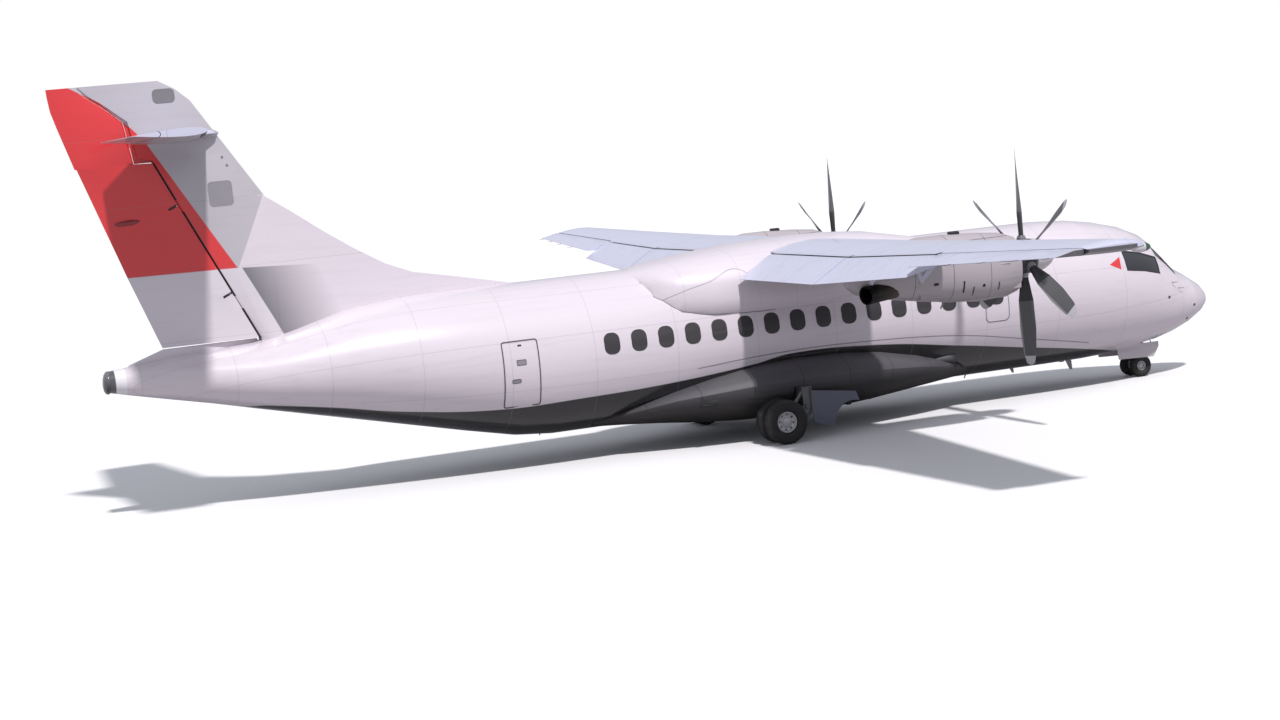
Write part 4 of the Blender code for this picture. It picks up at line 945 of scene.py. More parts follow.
def leading_boot(name, node, side, start, end):
    """A sheet round a leading edge: the front strip of a copy, ahead of the line from start to end."""
    piece = copy_of((node,))
    run = Vector((end[0] - start[0], side * (end[1] - start[1]), 0.0)).normalized()
    ahead = Vector((run.y * side, -run.x * side, 0.0))
    for place, facing in (((start[0], side * start[1], 0.0), ahead),
                          ((0.0, side * start[1], 0.0), Vector((0.0, side, 0.0))),
                          ((0.0, side * end[1], 0.0), Vector((0.0, -side, 0.0)))):
        work_mesh(bpy.ops.mesh.bisect, plane_co=place, plane_no=facing, clear_inner=True)
    thicken(piece, 0.0025)
    return settle(piece, name, "airframe", "tyre_rubber", boot_finish)


for side, letter in ((1, "L"), (-1, "R")):
    leading_boot("wing_boot_" + letter, "outer_wing_" + letter, side, (2.985, 5.20), (2.345, 11.95))
    leading_boot("tail_boot_" + letter, "tailplane", side, (-8.900, 0.55), (-9.320, 3.45))

smooth_copy("centre_wing_skin", ("centre_wing",), "airframe", "wing_paint", wing_paint)
for side, word in (("L", "left"), ("R", "right")):
    smooth_copy("outer_wing_skin_" + side, ("outer_wing_" + side,), "airframe", "wing_paint", wing_paint)
    for part in ("flap_inner", "flap_outer", "aileron"):
        node = part + "_" + side
        smooth_copy(part + "_skin_" + side, (node,), part + "_" + word, "wing_paint", wing_paint)

# Along the rear edge of the wing: thin sheet lips that close the slot above the
# flaps, riveted to the wing, and wire wicks on the ailerons that drain off static.
wick_finish = plain_finish("wick_carbon", (0.05, 0.05, 0.05, 1.0), 0.2, 0.6)


def slot_lip(name, start, end):
    """A thin lip over the flap slot, from one station to another: x, y and z of its front edge."""
    piece = new_piece(bpy.ops.mesh.primitive_plane_add, size=1.0)
    corners = sorted(piece.data.vertices, key=lambda corner: (corner.co.y, corner.co.x))
    near, far = (start, end) if start[1] < end[1] else (end, start)
    for corner, place, back in zip(corners, (near, near, far, far), (1, 0, 1, 0)):
        corner.co = (place[0] + 0.030 - 0.150 * back, place[1], place[2] + 0.0075 - 0.021 * back)
    work_mesh(bpy.ops.mesh.subdivide, number_cuts=5)
    work_mesh(bpy.ops.mesh.normals_make_consistent, inside=False)
    thicken(piece, 0.003, 0.0)
    return settle(piece, name, "airframe", "wing_paint", wing_paint)


def rear_edge(piece, y):
    """The point of a control surface's rear edge at a distance from the middle."""
    spread = [corner.co.y for corner in piece.data.vertices]
    ends = []
    for level in (min(spread), max(spread)):
        near = [corner.co for corner in piece.data.vertices if abs(corner.co.y - level) < 0.02]
        ends.append(min(near, key=lambda place: place.x))
    share = (y - ends[0].y) / (ends[1].y - ends[0].y)
    return ends[0].lerp(ends[1], share)


def static_wicks(surface, places, length, drop=0.0):
    """Thin wicks that trail from the rear edge of a control surface."""
    wicks = []
    for y in places:
        edge = rear_edge(surface, y)
        wicks.append(rod(edge + Vector((0.010, 0, 0)), edge - Vector((length, 0, drop)), 0.0045, narrow=0.6))
    return joined(wicks)


for side, letter, word in ((1, "L", "left"), (-1, "R", "right")):
    slot_lip("slot_lip_inner_" + letter, (1.329, side * 1.50, 3.464), (1.329, side * 4.79, 3.464))
    slot_lip("slot_lip_outer_" + letter, (1.330, side * 4.87, 3.465), (1.371, side * 7.97, 3.561))
    aileron = bpy.data.objects["aileron_skin_" + letter]
    wicks = static_wicks(aileron, [side * y for y in (9.3, 10.3, 11.2, 12.0)], 0.130, 0.004)
    settle(wicks, "aileron_wicks_" + letter, "aileron_" + word, "tyre_rubber", wick_finish)

# The wing tips: a white resin cap with a dark lens for the position lamp, and
# oval tank covers under the wing, each in a thin ring of sealant.
lens_finish, x, y, z = start_finish("tip_lens", coat=1.0)
lens_colour = lay((0.015, 0.090, 0.035, 1.0), ((0.160, 0.012, 0.012, 1.0), y.ramp(-1, 1)))
end_finish(lens_finish, lens_colour, 0.05, 0.10)
CAP_FORM = [(-0.120, 0.0), (-0.110, 0.030), (-0.050, 0.060), (0.040, 0.072), (0.110, 0.070), (0.110, 0.0)]
LENS_FORM = [(0.108, 0.0), (0.108, 0.068), (0.160, 0.060), (0.200, 0.044), (0.226, 0.020), (0.232, 0.0)]
COVER_PLACES = (5.9, 7.1, 8.3, 9.5, 10.7)
TIP_PLACE = (2.300, 12.205, 3.600)


def under_plate(x, y, width, length, corner, skin, rim):
    """An oval cover pressed from below on a skin."""
    piece = rounded_plate(length, width, corner, 6, (x, y, 2.0), (math.pi, 0, 0))
    inset_ring(piece, rim, False)
    press_on(piece, skin, "Z")
    thicken(piece, 0.003)
    return piece


for side, letter in ((1, "L"), (-1, "R")):
    place = (TIP_PLACE[0], side * TIP_PLACE[1], TIP_PLACE[2])
    way = (0.985, side * -0.09, -0.02)
    cap = spun(CAP_FORM, place, way, 24)
    settle(cap, "wing_tip_cap_" + letter, "airframe", "white_paint", antenna_finish)
    lens = spun(LENS_FORM, place, way, 24)
    settle(lens, "wing_tip_lens_" + letter, "airframe", "cockpit_glass", lens_finish)
    skin = bpy.data.objects["outer_wing_skin_" + letter]
    covers = [under_plate(2.10 - 0.05 * (y - 4.83), side * y, 0.26, 0.42, 0.125, skin, 0.012)
              for y in COVER_PLACES]
    settle(joined(covers), "tank_covers_" + letter, "airframe", "wing_paint", sealant, wing_paint)

# The nacelles: aluminium and composite cowlings in mid grey, split into rings
# that open on hinges, with a brownish darker tone low down.
nacelle_paint, x, y, z = start_finish("nacelle_paint", coat=0.3)
ring_joint, ring_rivets = joints_on(x, z, 0.74, 0.005)
sill_joint, sill_rivets = joints_on(z + 0.22, x, 1.05, 0.004)
cowl_joint = ring_joint | sill_joint
cowl_rivets = ring_rivets | sill_rivets
# The cowl is painted a darker, browner tone towards the bottom.
cowl_colour = lay((0.50, 0.45, 0.48, 1.0), ((0.10, 0.10, 0.10, 1.0), cowl_joint),
                  ((0.20, 0.17, 0.16, 1.0), z.ramp(2.66, 2.36) * 0.35))
end_finish(nacelle_paint, cowl_colour, 0.25, 0.36, ((cowl_joint, 0.002), (cowl_rivets, 0.0006)))
steel_finish = plain_finish("gear_steel", (0.17, 0.175, 0.185, 1.0), 0.35, 0.42, metallic=0.7)
heat_finish, x, y, z = start_finish("hot_steel", metallic=0.9)
heat_colour = lay((0.100, 0.080, 0.068, 1.0), ((0.020, 0.018, 0.019, 1.0), x.ramp(2.3, 1.8)))
end_finish(heat_finish, heat_colour, 0.5, 0.50)
for side in ("L", "R"):
    for name, node, slot, finish in (
            ("nacelle_cowl_", "nacelle_", "grey_paint", nacelle_paint),
            ("exhaust_pipe_", "exhaust_", "engine_metal", heat_finish),
            ("engine_block_", "engine_", "grey_paint", nacelle_paint)):
        smooth_copy(name + side, (node + side,), "airframe", slot, finish)

# Each nacelle breathes through a lipped mouth under the spinner, a scoop on top,
# upright slots and slats in its flank; latches and a drip pipe lie below.
NACELLE_SLOTS = ((3.525, 2.656, 0.045, 0.230), (3.724, 2.562, 0.035, 0.170), (4.231, 2.600, 0.035, 0.160),
                 (3.920, 2.640, 0.070, 0.070), (2.980, 2.760, 0.110, 0.060))
lip_finish = plain_finish("intake_lip", (0.38, 0.38, 0.40, 1.0), 0.25, 0.34, metallic=0.6)
opening_shade_finish = plain_finish("opening_shade_black", (0.022, 0.020, 0.020, 1.0), 0.3, 0.70)
SLAT_COUNT = 6
SLAT_STATION = 4.36
LATCH_PLACES = (2.55, 3.05, 3.55, 4.05, 4.40)
ENGINE_AWAY = 4.05
NACELLE_AWAY = 5.3
EXHAUST_LIP = [
    (-0.030, 0.160), (-0.030, 0.166), (0.0, 0.168), (0.014, 0.160), (0.010, 0.150), (-0.030, 0.150)]


def painted(piece, *finishes):
    """Gives a piece its paints before it is joined to others."""
    for finish in finishes:
        piece.data.materials.append(finish)
    return piece


for side, letter in ((1, "L"), (-1, "R")):
    middle = side * ENGINE_AWAY
    cowl = bpy.data.objects["nacelle_cowl_" + letter]
    # The middle of the mouth is a flat dark plate: painted shade of the open duct behind the lip.
    mouth = rounded_plate(
        0.500, 0.215, 0.100, 8, (4.744, middle, 2.585), (math.pi / 2, 0, math.pi / 2))
    inset_ring(mouth, 0.020, False)
    pick_faces(mouth, lambda face: face.material_index == 0)
    raise_faces(0.024)
    settle(mouth, "intake_mouth_" + letter, "airframe", "engine_metal", lip_finish, opening_shade_finish)
    # The slots are flat plates with dark middles: painted shade of the openings.
    slots = []
    for x, z, width, height in NACELLE_SLOTS:
        corner = 0.45 * min(width, height)
        slot = side_plate(x, z, width, height, corner, side, cowl, 0.006, 0.003, NACELLE_AWAY)
        slots.append(painted(slot, nacelle_paint, opening_shade_finish))
    settle(joined(slots), "nacelle_slots_" + letter, "airframe", "engine_metal", nacelle_paint, opening_shade_finish)
    slats = []
    for step in range(SLAT_COUNT):
        level = 2.98 + 0.045 * step
        at = hit(cowl, (SLAT_STATION, side * 8.0, level), (0, -side, 0))
        place = (SLAT_STATION, at.y, level)
        slats.append(block(place, (0.200, 0.022, 0.016), 0.3, turned=(side * 0.5, 0, 0)))
    settle(joined(slats), "nacelle_slats_" + letter, "airframe", "grey_paint", nacelle_paint)
    # The scoop is a dark block: painted shade of its open mouth.
    scoop = block((3.62, middle, 3.588), (0.200, 0.120, 0.075), 0.35, 4)
    settle(scoop, "nacelle_scoop_" + letter, "airframe", "engine_metal", opening_shade_finish)
    latches = [block(hit(cowl, (x, middle + side * 0.12, 1.0), (0, 0, 1)), (0.110, 0.028, 0.012), 0.3)
               for x in LATCH_PLACES]
    settle(joined(latches), "nacelle_latches_" + letter, "airframe", "gear_steel", lever_finish)
    at = hit(cowl, (3.30, middle, 1.0), (0, 0, 1))
    pipe = rod(at + Vector((0.03, 0, 0.02)), at - Vector((0.05, 0, 0.11)), 0.014, narrow=0.85)
    settle(pipe, "nacelle_drain_" + letter, "airframe", "gear_steel", probe_finish)
    lip = spun(EXHAUST_LIP, (1.640, side * 4.447, 2.712), (-0.947, side * 0.316, -0.061), 32)
    settle(lip, "exhaust_lip_" + letter, "airframe", "engine_metal", heat_finish, crease=40.0)

# The propellers: composite blades in dark grey with pale tips and a metal strip
# along the front edge, each held in a turned collar, behind a pointed white spinner.
BLADE_COUNT = 6
HUB_STATION = 4.97
HUB_HEIGHT = 3.03
BLADE_TURN = math.tau / BLADE_COUNT
blade_finish, x, y, z = start_finish("blade_paint", coat=0.1)
hub_away = y - reckon(y.tree, "SIGN", y) * ENGINE_AWAY
hub_rise = z - HUB_HEIGHT
hub_reach = reckon(y.tree, "SQRT", hub_away * hub_away + hub_rise * hub_rise)
hub_angle = reckon(y.tree, "ARCTAN2", hub_away, hub_rise)
sector = (hub_angle + BLADE_TURN / 2) % BLADE_TURN - BLADE_TURN / 2
front_edge = (reckon(y.tree, "SINE", sector) * hub_reach).ramp(-0.082, -0.086)
blade_colour = lay(
    (0.028, 0.028, 0.030, 1.0),
    ((0.120, 0.120, 0.126, 1.0), hub_reach.ramp(0.80, 0.82)),
    ((0.30, 0.30, 0.31, 1.0), front_edge * hub_reach.ramp(0.85, 0.87)),
    ((0.62, 0.61, 0.63, 1.0), hub_reach.ramp(1.80, 1.81)))
end_finish(blade_finish, blade_colour, 0.15, 0.38)
spinner_paint, x, y, z = start_finish("spinner_paint", coat=0.5)
# Painted shade: the rear band of the spinner, next to the cowl, is painted dark as the shade in the gap
# between them.
spinner_and_gap_shade = lay((0.66, 0.62, 0.66, 1.0), ((0.12, 0.12, 0.12, 1.0), x.ramp(5.128, 5.124)))
end_finish(spinner_paint, spinner_and_gap_shade, 0.15, 0.28)
COLLAR = [(0.285, 0.0), (0.285, 0.085), (0.345, 0.085), (0.352, 0.078), (0.352, 0.070), (0.375, 0.068),
          (0.382, 0.060), (0.385, 0.0)]


def copies_round(piece, count, centre, way):
    """The piece repeated evenly round an axis, as one."""
    members = [piece]
    for step in range(1, count):
        pick(piece)
        bpy.ops.object.duplicate()
        turned = Matrix.Rotation(math.tau * step / count, 4, Vector(way))
        bpy.context.object.matrix_world = (
            Matrix.Translation(centre) @ turned @ Matrix.Translation(-Vector(centre)) @ piece.matrix_world)
        members.append(bpy.context.object)
    return joined(members)


for side, letter, word in ((1, "L", "left"), (-1, "R", "right")):
    body = "propeller_" + word
    for name, node, slot, finish in (
            ("blades_", "propeller_", "blade_composite", blade_finish),
            ("spinner_cap_", "spinner_", "white_paint", spinner_paint)):
        smooth_copy(name + letter, (node + letter,), body, slot, finish, crease=40.0)
    hub = Vector((HUB_STATION, side * ENGINE_AWAY, HUB_HEIGHT))
    collars = copies_round(spun(COLLAR, hub, (0, 0, 1), 20), BLADE_COUNT, hub, (1, 0, 0))
    settle(collars, "blade_collars_" + letter, body, "engine_metal", lip_finish)

# The tail: grey and white facets with a red rudder, divided by straight lines
# that meet low on the fin; one facet fades from dark grey to white.
TAIL_GREY = (0.56, 0.53, 0.57, 1.0)
RED_EDGE = ((-10.901, 7.555), (-10.457, 7.294), (-10.005, 6.839), (-9.771, 6.558), (-8.435, 4.214))
RED_LEVEL = ((-10.40, 4.236), (-8.435, 4.214))
GREY_EDGE = ((-7.830, 5.425), (-8.405, 4.248))
FADE_TOP = ((-8.358, 4.209), (-6.794, 4.119))
FADE_SIDE = ((-8.358, 4.209), (-7.734, 2.926))
HINGE_LINE = ((-9.676, 6.190), (-8.165, 2.950))
HINGE_SHADE_RUNS = ((2.93, 3.50), (3.72, 5.30), (5.50, 6.20))


def right_of(x, z, start, end, soft=0.006):
    """1 to the right of the line from start to end, in the side view."""
    return 1.0 - left_of(x, z, start, end, soft)


tail_paint, x, y, z = start_finish("tail_paint", coat=0.6)
shaded = lay((0.185, 0.178, 0.195, 1.0), (WHITE, (x + z * 0.42).ramp(-6.65, -5.25)))
under = right_of(x, z, *FADE_TOP)
red = left_of(x, z, *RED_LEVEL)
for start, end in zip(RED_EDGE, RED_EDGE[1:]):
    red = red * right_of(x, z, start, end)
# Painted shade: a dark band, wider than the slot, is painted along the hinge line in three runs, as the
# shade in the gap between fin and rudder.
(upper_x, upper_z), (lower_x, lower_z) = HINGE_LINE
hinge_gap_shade = left_of(x, z, (upper_x - 0.022, upper_z), (lower_x - 0.022, lower_z))
hinge_gap_shade = hinge_gap_shade * right_of(x, z, (upper_x + 0.016, upper_z), (lower_x + 0.016, lower_z))
hinge_shade_coats = [
    ((0.022, 0.016, 0.018, 1.0), z.ramp(low, low + 0.01) * z.ramp(high, high - 0.01) * hinge_gap_shade)
    for low, high in HINGE_SHADE_RUNS]
tail_joint, tail_rivets = joints_on(z, x, 1.21)
tail_colour = lay(
    WHITE,
    (TAIL_GREY, right_of(x, z, *GREY_EDGE)),
    ((0.76, 0.71, 0.76, 1.0), under),
    (shaded, under * left_of(x, z, *FADE_SIDE)),
    (RED, red),
    *hinge_shade_coats,
    (SEAM_TONE, tail_joint * 0.25))
end_finish(tail_paint, tail_colour, 0.07, 0.25, ((tail_joint, 0.001), (tail_rivets, 0.0004)))
fin = smooth_copy("fin_skin", ("fin", "fin_tip"), "airframe", "grey_paint", tail_paint)
smooth_copy("dorsal_skin", ("dorsal_fin",), "airframe", "white_paint", tail_paint)
rudder = smooth_copy("rudder_skin", ("rudder",), "rudder", "red_paint", tail_paint)
for side in ("L", "R"):
    smooth_copy("elevator_skin_" + side, ("elevator_" + side,), "elevators", "grey_paint", wing_paint)

# The tailplane is painted as the wing; the saddle that carries it through the fin
# keeps the colours of the fin.
stabiliser = copy_of(("tailplane",))
for face in stabiliser.data.polygons:
    face.material_index = 1 if abs(face.center.y) < 0.145 else 0
settle(stabiliser, "tailplane_skin", "airframe", "grey_paint", wing_paint, tail_paint)
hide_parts("tailplane")

# A painted sealing strip stands in the slot between the fin and the rudder: a thin
# upright sheet on the middle line, fixed to the fin, just short of the rudder.
FIN_STRIP = (
    (-9.640, 6.193), (-9.990, 6.193), (-10.100, 6.930), (-10.425, 7.210), (-10.723, 7.430), (-10.872, 7.588),
    (-10.790, 7.588), (-10.640, 7.430), (-10.340, 7.210), (-10.015, 6.930), (-9.940, 6.470), (-9.900, 6.300),
    (-9.660, 6.240),
)


def upright_sheet(outline, thick):
    """A flat sheet on the middle line, cut to an outline of x and z."""
    piece = new_piece(
        bpy.ops.mesh.primitive_circle_add, vertices=len(outline), radius=1.0, fill_type="NGON")
    for corner, (x, z) in zip(piece.data.vertices, outline):
        corner.co = (x, 0.0, z)
    work_mesh(bpy.ops.mesh.quads_convert_to_tris)
    work_mesh(bpy.ops.mesh.normals_make_consistent, inside=False)
    thicken(piece, thick, 0.0)
    return piece


settle(upright_sheet(FIN_STRIP, 0.008), "fin_sealing_strip", "airframe", "grey_paint", tail_paint)
HINGE_WEBS = ((-8.625, 3.768), (-9.375, 5.403))
webs = [block((x - 0.0773, 0, z - 0.0354), (0.165, 0.170, 0.036), 0.1, 2, turned=(0, 2.7110, 0))
        for x, z in HINGE_WEBS]
settle(joined(webs), "rudder_hinge_webs", "airframe", "gear_steel", seal_finish)

# Under the rudder a slim white fillet rises from the tail cone and closes the view
# between them; it is glass-fibre, screwed down along its foot.
FILLET = (
    (-8.200, 2.800), (-8.200, 2.930), (-9.860, 2.930), (-10.500, 2.715), (-10.450, 2.640), (-9.000, 2.700))
fillet = upright_sheet(FILLET, 0.070)
work_mesh(bpy.ops.mesh.bevel, offset=0.015, segments=2)
settle(fillet, "rudder_foot_fillet", "airframe", "white_paint", fairing_paint)

# Plates on the tail: ice-warning patches high on the fin, a grey access cover,
# a blister over the trim rod of the rudder, and small fasteners.
patch_finish = plain_finish("tail_patch", (0.320, 0.305, 0.330, 1.0), 0.2, 0.40, coat=0.3)
patch_dark = plain_finish("tip_patch", (0.215, 0.207, 0.220, 1.0), 0.2, 0.45, coat=0.2)
blister_red = plain_finish("blister_red", (0.300, 0.020, 0.024, 1.0), 0.1, 0.30, coat=0.5)
TIP_PATCH_HEIGHT = 7.320
FIN_AWAY = 1.0
for side, word in ((1, "left"), (-1, "right")):
    cover = side_plate(-8.575, 5.540, 0.430, 0.440, 0.070, side, fin, 0.010, 0.002, FIN_AWAY)
    settle(cover, "fin_cover_" + word, "airframe", "grey_paint", patch_finish, patch_finish)
    tip_x = hit(fin, (0, 0, TIP_PATCH_HEIGHT), (-1, 0, 0)).x - 0.330
    patch = side_plate(tip_x, TIP_PATCH_HEIGHT, 0.390, 0.250, 0.080, side, fin, 0.010, 0.002, FIN_AWAY)
    settle(patch, "fin_tip_patch_" + word, "airframe", "grey_paint", patch_dark, patch_dark)
    dots = []
    for x, z in ((-8.40, 6.020), (-8.47, 6.170)):
        dot = side_plate(x, z, 0.050, 0.050, 0.024, side, fin, 0.008, 0.002)
        dots.append(painted(dot, patch_finish, probe_finish))
    settle(joined(dots), "fin_screw_caps_" + word, "airframe", "gear_steel", patch_finish, probe_finish)
    flank = hit(rudder, (-10.205, side * 2.0, 5.190), (0, -side, 0))
    blister = new_piece(bpy.ops.mesh.primitive_uv_sphere_add, (0.240, 0.035, 0.048), segments=24,
                        ring_count=12, radius=1.0, location=flank, rotation=(0, -0.06, 0))
    work_mesh(bpy.ops.mesh.bisect, plane_co=flank - Vector((0, side * 0.012, 0)),
              plane_no=(0, side, 0), clear_inner=True, use_fill=True)
    settle(blister, "trim_rod_blister_" + word, "rudder", "red_paint", blister_red)

# The end of the tail cone: a turned dome of clear glass over the white lamp, in a
# dark ring; thin wicks on the rudder and the elevators drain off static.
tail_glass, x, y, z = start_finish("tail_lamp_glass", coat=1.0)
# Painted reflection: the dome is painted lighter on its upper half, as the pale sky shining in it.
glass_with_painted_sheen = lay((0.030, 0.030, 0.033, 1.0), ((0.16, 0.16, 0.17, 1.0), z.ramp(2.35, 2.60)))
end_finish(tail_glass, glass_with_painted_sheen, 0.1, 0.12)
END_FORM = [(-0.010, 0.0), (-0.010, 0.200), (0.020, 0.206), (0.050, 0.196), (0.082, 0.150),
            (0.098, 0.085), (0.104, 0.0)]
dome = spun(END_FORM, (-10.860, 0.0, 2.462), (-0.99, 0, 0.10), 32)
settle(dome, "tail_lamp_dome", "airframe", "cockpit_glass", tail_glass)
for side, letter in ((1, "L"), (-1, "R")):
    elevator = bpy.data.objects["elevator_skin_" + letter]
    wicks = static_wicks(elevator, [side * y for y in (1.9, 2.7, 3.4)], 0.120)
    settle(wicks, "elevator_wicks_" + letter, "elevators", "tyre_rubber", wick_finish)

# The main undercarriage legs: forged steel with milled pockets, a trailing arm on a
# thick pin, a shock strut with a bright rod, brake packs and a hydraulic pipe.
POCKET_DEPTH = 0.012
BRAKE_PACK = [(0.060, 0.046), (0.060, 0.130), (0.066, 0.146), (0.078, 0.146), (0.080, 0.138), (0.086, 0.138),
              (0.088, 0.150), (0.104, 0.150), (0.111, 0.138), (0.111, 0.046)]
PIN_END = [(0.050, 0.0), (0.050, 0.048), (0.068, 0.048), (0.072, 0.042), (0.072, 0.026),
           (0.082, 0.022), (0.082, 0.0)]
TRACK_HALF = 2.05
MAIN_AXLE_X = 0.850
MAIN_AXLE_Z = 0.4065
chrome_finish = plain_finish("sliding_rod", (0.62, 0.62, 0.63, 1.0), 0.10, 0.14, metallic=1.0)
brake_finish = plain_finish("brake_pack", (0.060, 0.056, 0.054, 1.0), 0.5, 0.55, metallic=0.5)
for side, letter in ((1, "L"), (-1, "R")):
    flank = side * TRACK_HALF
    leg = copy_of(("main_leg_" + letter,))
    for face in leg.data.polygons:
        face.material_index = 0
    pick_faces(leg, lambda face: face.normal.y * side > 0.99 and face.center.y * side > 2.10)
    bpy.ops.mesh.inset(thickness=0.016)
    raise_faces(-POCKET_DEPTH)
    settle(leg, "main_leg_forging_" + letter, "airframe", "gear_steel", steel_finish)
    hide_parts("main_leg_" + letter)
    tube = rod((1.300, flank, 0.900), (1.130, flank, 0.685), 0.036)
    collar = rod((1.142, flank, 0.700), (1.118, flank, 0.670), 0.042)
    pins = [spun(PIN_END, (1.360, flank, 0.620), (0, hand, 0), 24) for hand in (1, -1)]
    fork = block((1.005, flank, 0.548), (0.075, 0.070, 0.060), 0.3, turned=(0, 0.9, 0))
    strut = joined([tube, collar, fork] + pins)
    settle(strut, "main_strut_" + letter, "airframe", "gear_steel", steel_finish)
    slider = rod((1.135, flank, 0.690), (1.010, flank, 0.552), 0.023)
    settle(slider, "main_slider_" + letter, "airframe", "gear_steel", chrome_finish)
    hub = (MAIN_AXLE_X, flank, MAIN_AXLE_Z)
    brakes = [spun(BRAKE_PACK, hub, (0, hand, 0), 32) for hand in (1, -1)]
    settle(joined(brakes), "main_brakes_" + letter, "airframe", "engine_metal", brake_finish)
    out = side * 2.112
    pipe = bead([(1.440, out, 0.960), (1.440, out, 0.560), (1.390, out, 0.480), (1.250, out, 0.430),
                 (1.050, out, 0.385), (0.930, side * 2.120, 0.400)], 0.008)
    settle(pipe, "main_brake_pipe_" + letter, "airframe", "tyre_rubber", seal_finish)

# The nose leg: a fixed outer tube with its steering collar and rams, and below it the
# turning part with a scissor link and the taxi lamp; thin rods hold the doors.
smooth_copy("nose_leg_outer", ("nose_leg_upper",), "airframe", "gear_steel", steel_finish)
smooth_copy("nose_leg_inner", ("nose_leg_lower",), "nose_strut", "gear_steel", steel_finish)
STEER_COLLAR = [
    (-0.040, 0.082), (-0.040, 0.108), (-0.028, 0.114), (0.028, 0.114), (0.040, 0.108), (0.040, 0.082)]
NOSE_X = 9.64
STEER_Z = 0.650
steering = [spun(STEER_COLLAR, (NOSE_X, 0, STEER_Z), (0, 0, 1), 28)]
steering += [rod((NOSE_X - 0.130, y, STEER_Z), (NOSE_X + 0.110, y, STEER_Z), 0.026) for y in (0.118, -0.118)]
settle(joined(steering), "nose_steering_rams", "airframe", "gear_steel", steel_finish)
scissor = [rod((9.555, y, 0.275), (9.450, y, 0.395), 0.013) for y in (0.026, -0.026)]
scissor += [rod((9.450, y, 0.395), (9.580, y, 0.515), 0.013) for y in (0.026, -0.026)]
scissor.append(rod((9.450, -0.045, 0.395), (9.450, 0.045, 0.395), 0.018))
settle(joined(scissor), "nose_scissor_link", "nose_strut", "gear_steel", steel_finish)
TAXI_SHELL = [(-0.050, 0.0), (-0.050, 0.022), (-0.020, 0.046), (0.0, 0.052), (0.006, 0.052), (0.006, 0.045),
              (0.0, 0.044), (0.0, 0.0)]
TAXI_LENS = [(0.0, 0.0), (0.0, 0.0445), (0.004, 0.0445), (0.010, 0.026), (0.012, 0.0)]
TAXI_PLACE = (9.765, 0, 0.520)
TAXI_WAY = (1, 0, -0.12)
taxi = spun(TAXI_SHELL, TAXI_PLACE, TAXI_WAY, 28)
settle(taxi, "taxi_lamp", "nose_strut", "gear_steel", steel_finish, crease=40.0)
taxi_lens = spun(TAXI_LENS, TAXI_PLACE, TAXI_WAY, 28)
settle(taxi_lens, "taxi_lamp_glass", "nose_strut", "cockpit_glass", pane_finish)
stays = [rod((x, hand * 0.379, 0.500), (x, hand * 0.160, 0.945), 0.010)
         for x in (9.12, 9.82) for hand in (1, -1)]
settle(joined(stays), "nose_door_stays", "airframe", "gear_steel", steel_finish)

# The tyres: cross-ply rubber, vulcanised with four straight grooves;
# one is turned and the others are copies.
rubber_finish = plain_finish("tyre_rubber", (0.017, 0.0165, 0.017, 1.0), 0.30, 0.72, peel=0.0006)


def tyre_outline(radius, width, rim):
    """Half by half: bead, side wall, shoulder and grooved tread of a tyre."""
    half = width / 2.0
    depth = radius - rim
    groove = depth * 0.045
    wide = half * 0.032
    rows = [(0.62, 0.0), (0.80, 0.07), (0.93, 0.20), (0.995, 0.40), (0.985, 0.60), (0.91, 0.79),
            (0.78, 0.90), (0.60, 0.975), (0.50, 0.998)]
    outline = [(-half * share, rim + depth * rise) for share, rise in rows]
    for middle in (-0.38, -0.13, 0.13, 0.38):
        left, right = half * middle - wide, half * middle + wide
        outline += [(left, radius), (left, radius - groove), (right, radius - groove), (right, radius)]
    return outline + [(half * share, rim + depth * rise) for share, rise in reversed(rows)]


def copy_moved(piece, step):
    """A copy of a piece with its own mesh, moved by a step."""
    pick(piece)
    bpy.ops.object.duplicate()
    bpy.ops.transform.translate(value=step)
    set_places()
    return bpy.context.object


def place_copies(first, places, finish):
    """Settles a copy of a finished tyre at every place, and takes the first one away."""
    for name, node, body, place in places:
        piece = copy_moved(first, Vector(place))
        settle(piece, name, body, "tyre_rubber", finish, crease=40.0)
        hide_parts(node)
    bpy.data.objects.remove(first)


MAIN_HUBS = (("left", "L", 1), ("right", "R", -1))
HANDS = (("left", 1), ("right", -1))
MAIN_SPACING = 0.195
NOSE_SPACING = 0.185
NOSE_AXLE = (9.60, 0, 0.225)
main_tyre = spun(tyre_outline(0.4064, 0.22, 0.205), (0, 0, 0), (0, 1, 0), 72)
places = [
    ("main_%s_rubber_%s" % (letter, hand), "main_%s_tyre_%s" % (letter, hand), "main_wheels_" + word,
     (MAIN_AXLE_X, side * TRACK_HALF + way * MAIN_SPACING, MAIN_AXLE_Z))
    for word, letter, side in MAIN_HUBS for hand, way in HANDS]
place_copies(main_tyre, places, rubber_finish)
nose_tyre = spun(tyre_outline(0.2249, 0.17, 0.105), (0, 0, 0), (0, 1, 0), 60)
places = [("nose_rubber_" + hand, "nose_tyre_" + hand, "nose_wheels",
           (NOSE_AXLE[0], way * NOSE_SPACING, NOSE_AXLE[2])) for hand, way in HANDS]
place_copies(nose_tyre, places, rubber_finish)

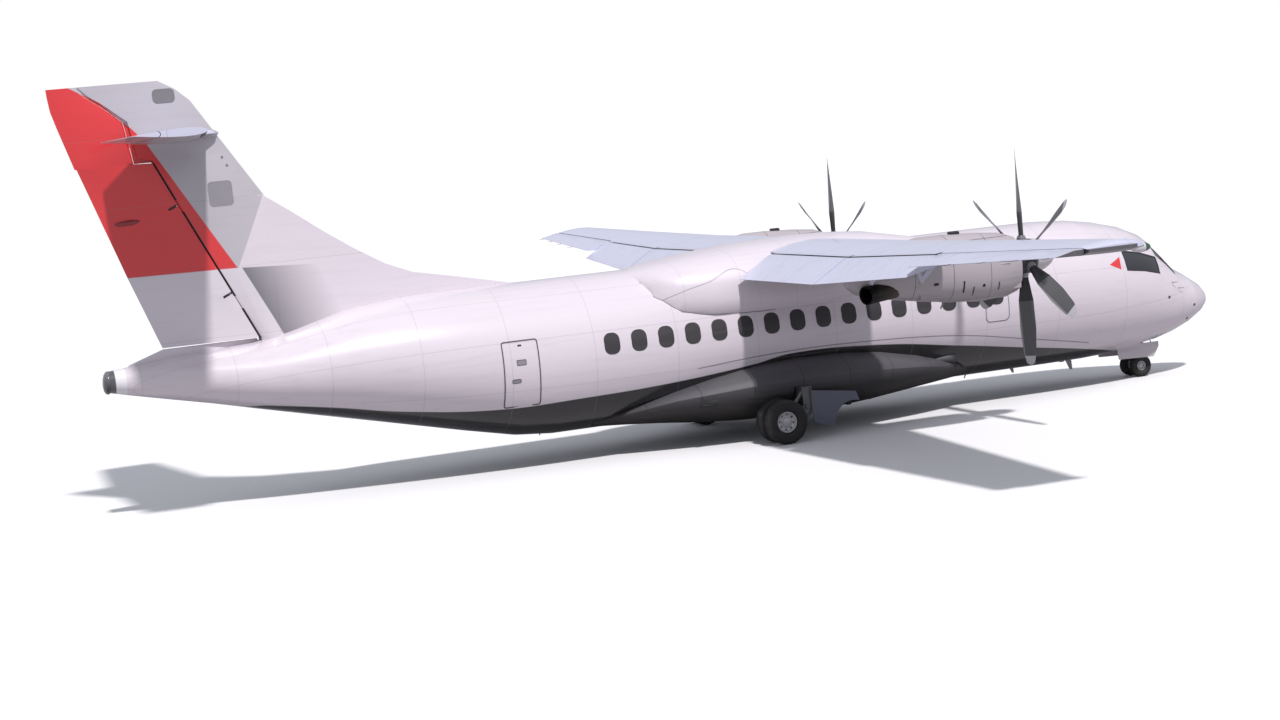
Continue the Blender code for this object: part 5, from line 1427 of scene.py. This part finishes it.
# The wheels: cast alloy halves in pale grey paint, dished, with a ring of vent holes,
# eight nuts and a pressed hub cap, both on one turning axle.
alloy_finish = plain_finish("wheel_paint", (0.60, 0.60, 0.61, 1.0), 0.22, 0.38, metallic=0.3, coat=0.2)
hole_shade_finish = plain_finish("wheel_hole_shade", (0.040, 0.040, 0.042, 1.0), 0.4, 0.60)
RIM_FORM = (
    (-0.078, 0.0), (-0.078, 0.046), (-0.066, 0.060), (-0.066, 0.188), (-0.040, 0.2035), (0.040, 0.2035),
    (0.066, 0.188), (0.066, 0.172), (0.046, 0.164), (0.024, 0.156), (0.010, 0.118), (0.018, 0.092),
    (0.040, 0.078), (0.046, 0.060), (0.050, 0.036), (0.052, 0.0))


def dished_wheel(along_scale, radius_scale):
    """One wheel half facing +y, with its holes and nuts, about the origin."""
    form = [(along * along_scale, radius * radius_scale) for along, radius in RIM_FORM]
    wheel = spun(form, (0, 0, 0), (0, 1, 0), 40)
    inner, outer = 0.118 * radius_scale, 0.156 * radius_scale
    for face in wheel.data.polygons:
        reach = math.hypot(face.center.x, face.center.z)
        turn = math.degrees(math.atan2(face.center.z, face.center.x)) % 45.0
        hole = inner < reach < outer and face.center.y > 0 and turn < 18.0
        face.material_index = 1 if hole else 0
    # The sunk floors of the vent holes are painted near black: painted shade seen through the holes.
    pick_faces(wheel, lambda face: face.material_index == 1)
    bpy.ops.mesh.inset(thickness=0.004 * radius_scale)
    raise_faces(-0.030 * along_scale)
    for face in wheel.data.polygons:
        face.material_index = 1 if face.select else 0
    nut_at = 0.100 * radius_scale
    nut = rod((nut_at, 0.012 * along_scale, 0), (nut_at, 0.030 * along_scale, 0), 0.009 * radius_scale, 6)
    nuts = copies_round(nut, 8, Vector((0, 0, 0)), (0, 1, 0))
    return joined([painted(wheel, alloy_finish, hole_shade_finish), painted(nuts, alloy_finish)])


def wheel_set(name, node, body, wheel, centre, spacing, axle):
    """Two wheels back to back on their axle."""
    outer = copy_moved(wheel, Vector(centre) + Vector((0, spacing, 0)))
    inner = copy_moved(wheel, Vector((0, 0, 0)))
    inner.rotation_mode = "XYZ"
    inner.rotation_euler = (0, 0, math.pi)
    inner.location = Vector(centre) - Vector((0, spacing, 0))
    reach = Vector((0, spacing - 0.05, 0))
    shaft = painted(rod(Vector(centre) - reach, Vector(centre) + reach, axle, 24), alloy_finish)
    both = joined([outer, inner, shaft])
    settle(both, name, body, "wheel_alloy", alloy_finish, hole_shade_finish)
    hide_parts(node)


main_wheel = dished_wheel(1.0, 1.0)
for word, letter, side in MAIN_HUBS:
    hub = (MAIN_AXLE_X, side * TRACK_HALF, MAIN_AXLE_Z)
    wheel_set("main_wheels_alloy_" + letter, "main_%s_wheels" % letter, "main_wheels_" + word,
              main_wheel, hub, MAIN_SPACING, 0.037)
bpy.data.objects.remove(main_wheel)
nose_wheel = dished_wheel(0.78, 0.512)
wheel_set("nose_wheels_alloy", "nose_wheels", "nose_wheels", nose_wheel, NOSE_AXLE, NOSE_SPACING, 0.029)
bpy.data.objects.remove(nose_wheel)

# The airstair steps: painted alloy treads with black gritted rubber laid on them,
# inside the door that folds down.
grip = copy_of(("airstair_steps",))
pick_faces(grip, lambda face: face.normal.dot(Vector((0, -0.766, -0.643))) < 0.95)
bpy.ops.mesh.delete(type="FACE")
bpy.ops.mesh.select_all(action="SELECT")
bpy.ops.mesh.inset(thickness=0.018)
bpy.ops.mesh.select_all(action="INVERT")
bpy.ops.mesh.delete(type="FACE")
bpy.ops.object.mode_set(mode="OBJECT")
thicken(grip, 0.003)
for face in grip.data.polygons:
    face.material_index = 0
settle(grip, "step_grip", "airstair", "tyre_rubber", wick_finish)
smooth_copy("step_treads", ("airstair_steps",), "airstair", "grey_paint", steel_finish)
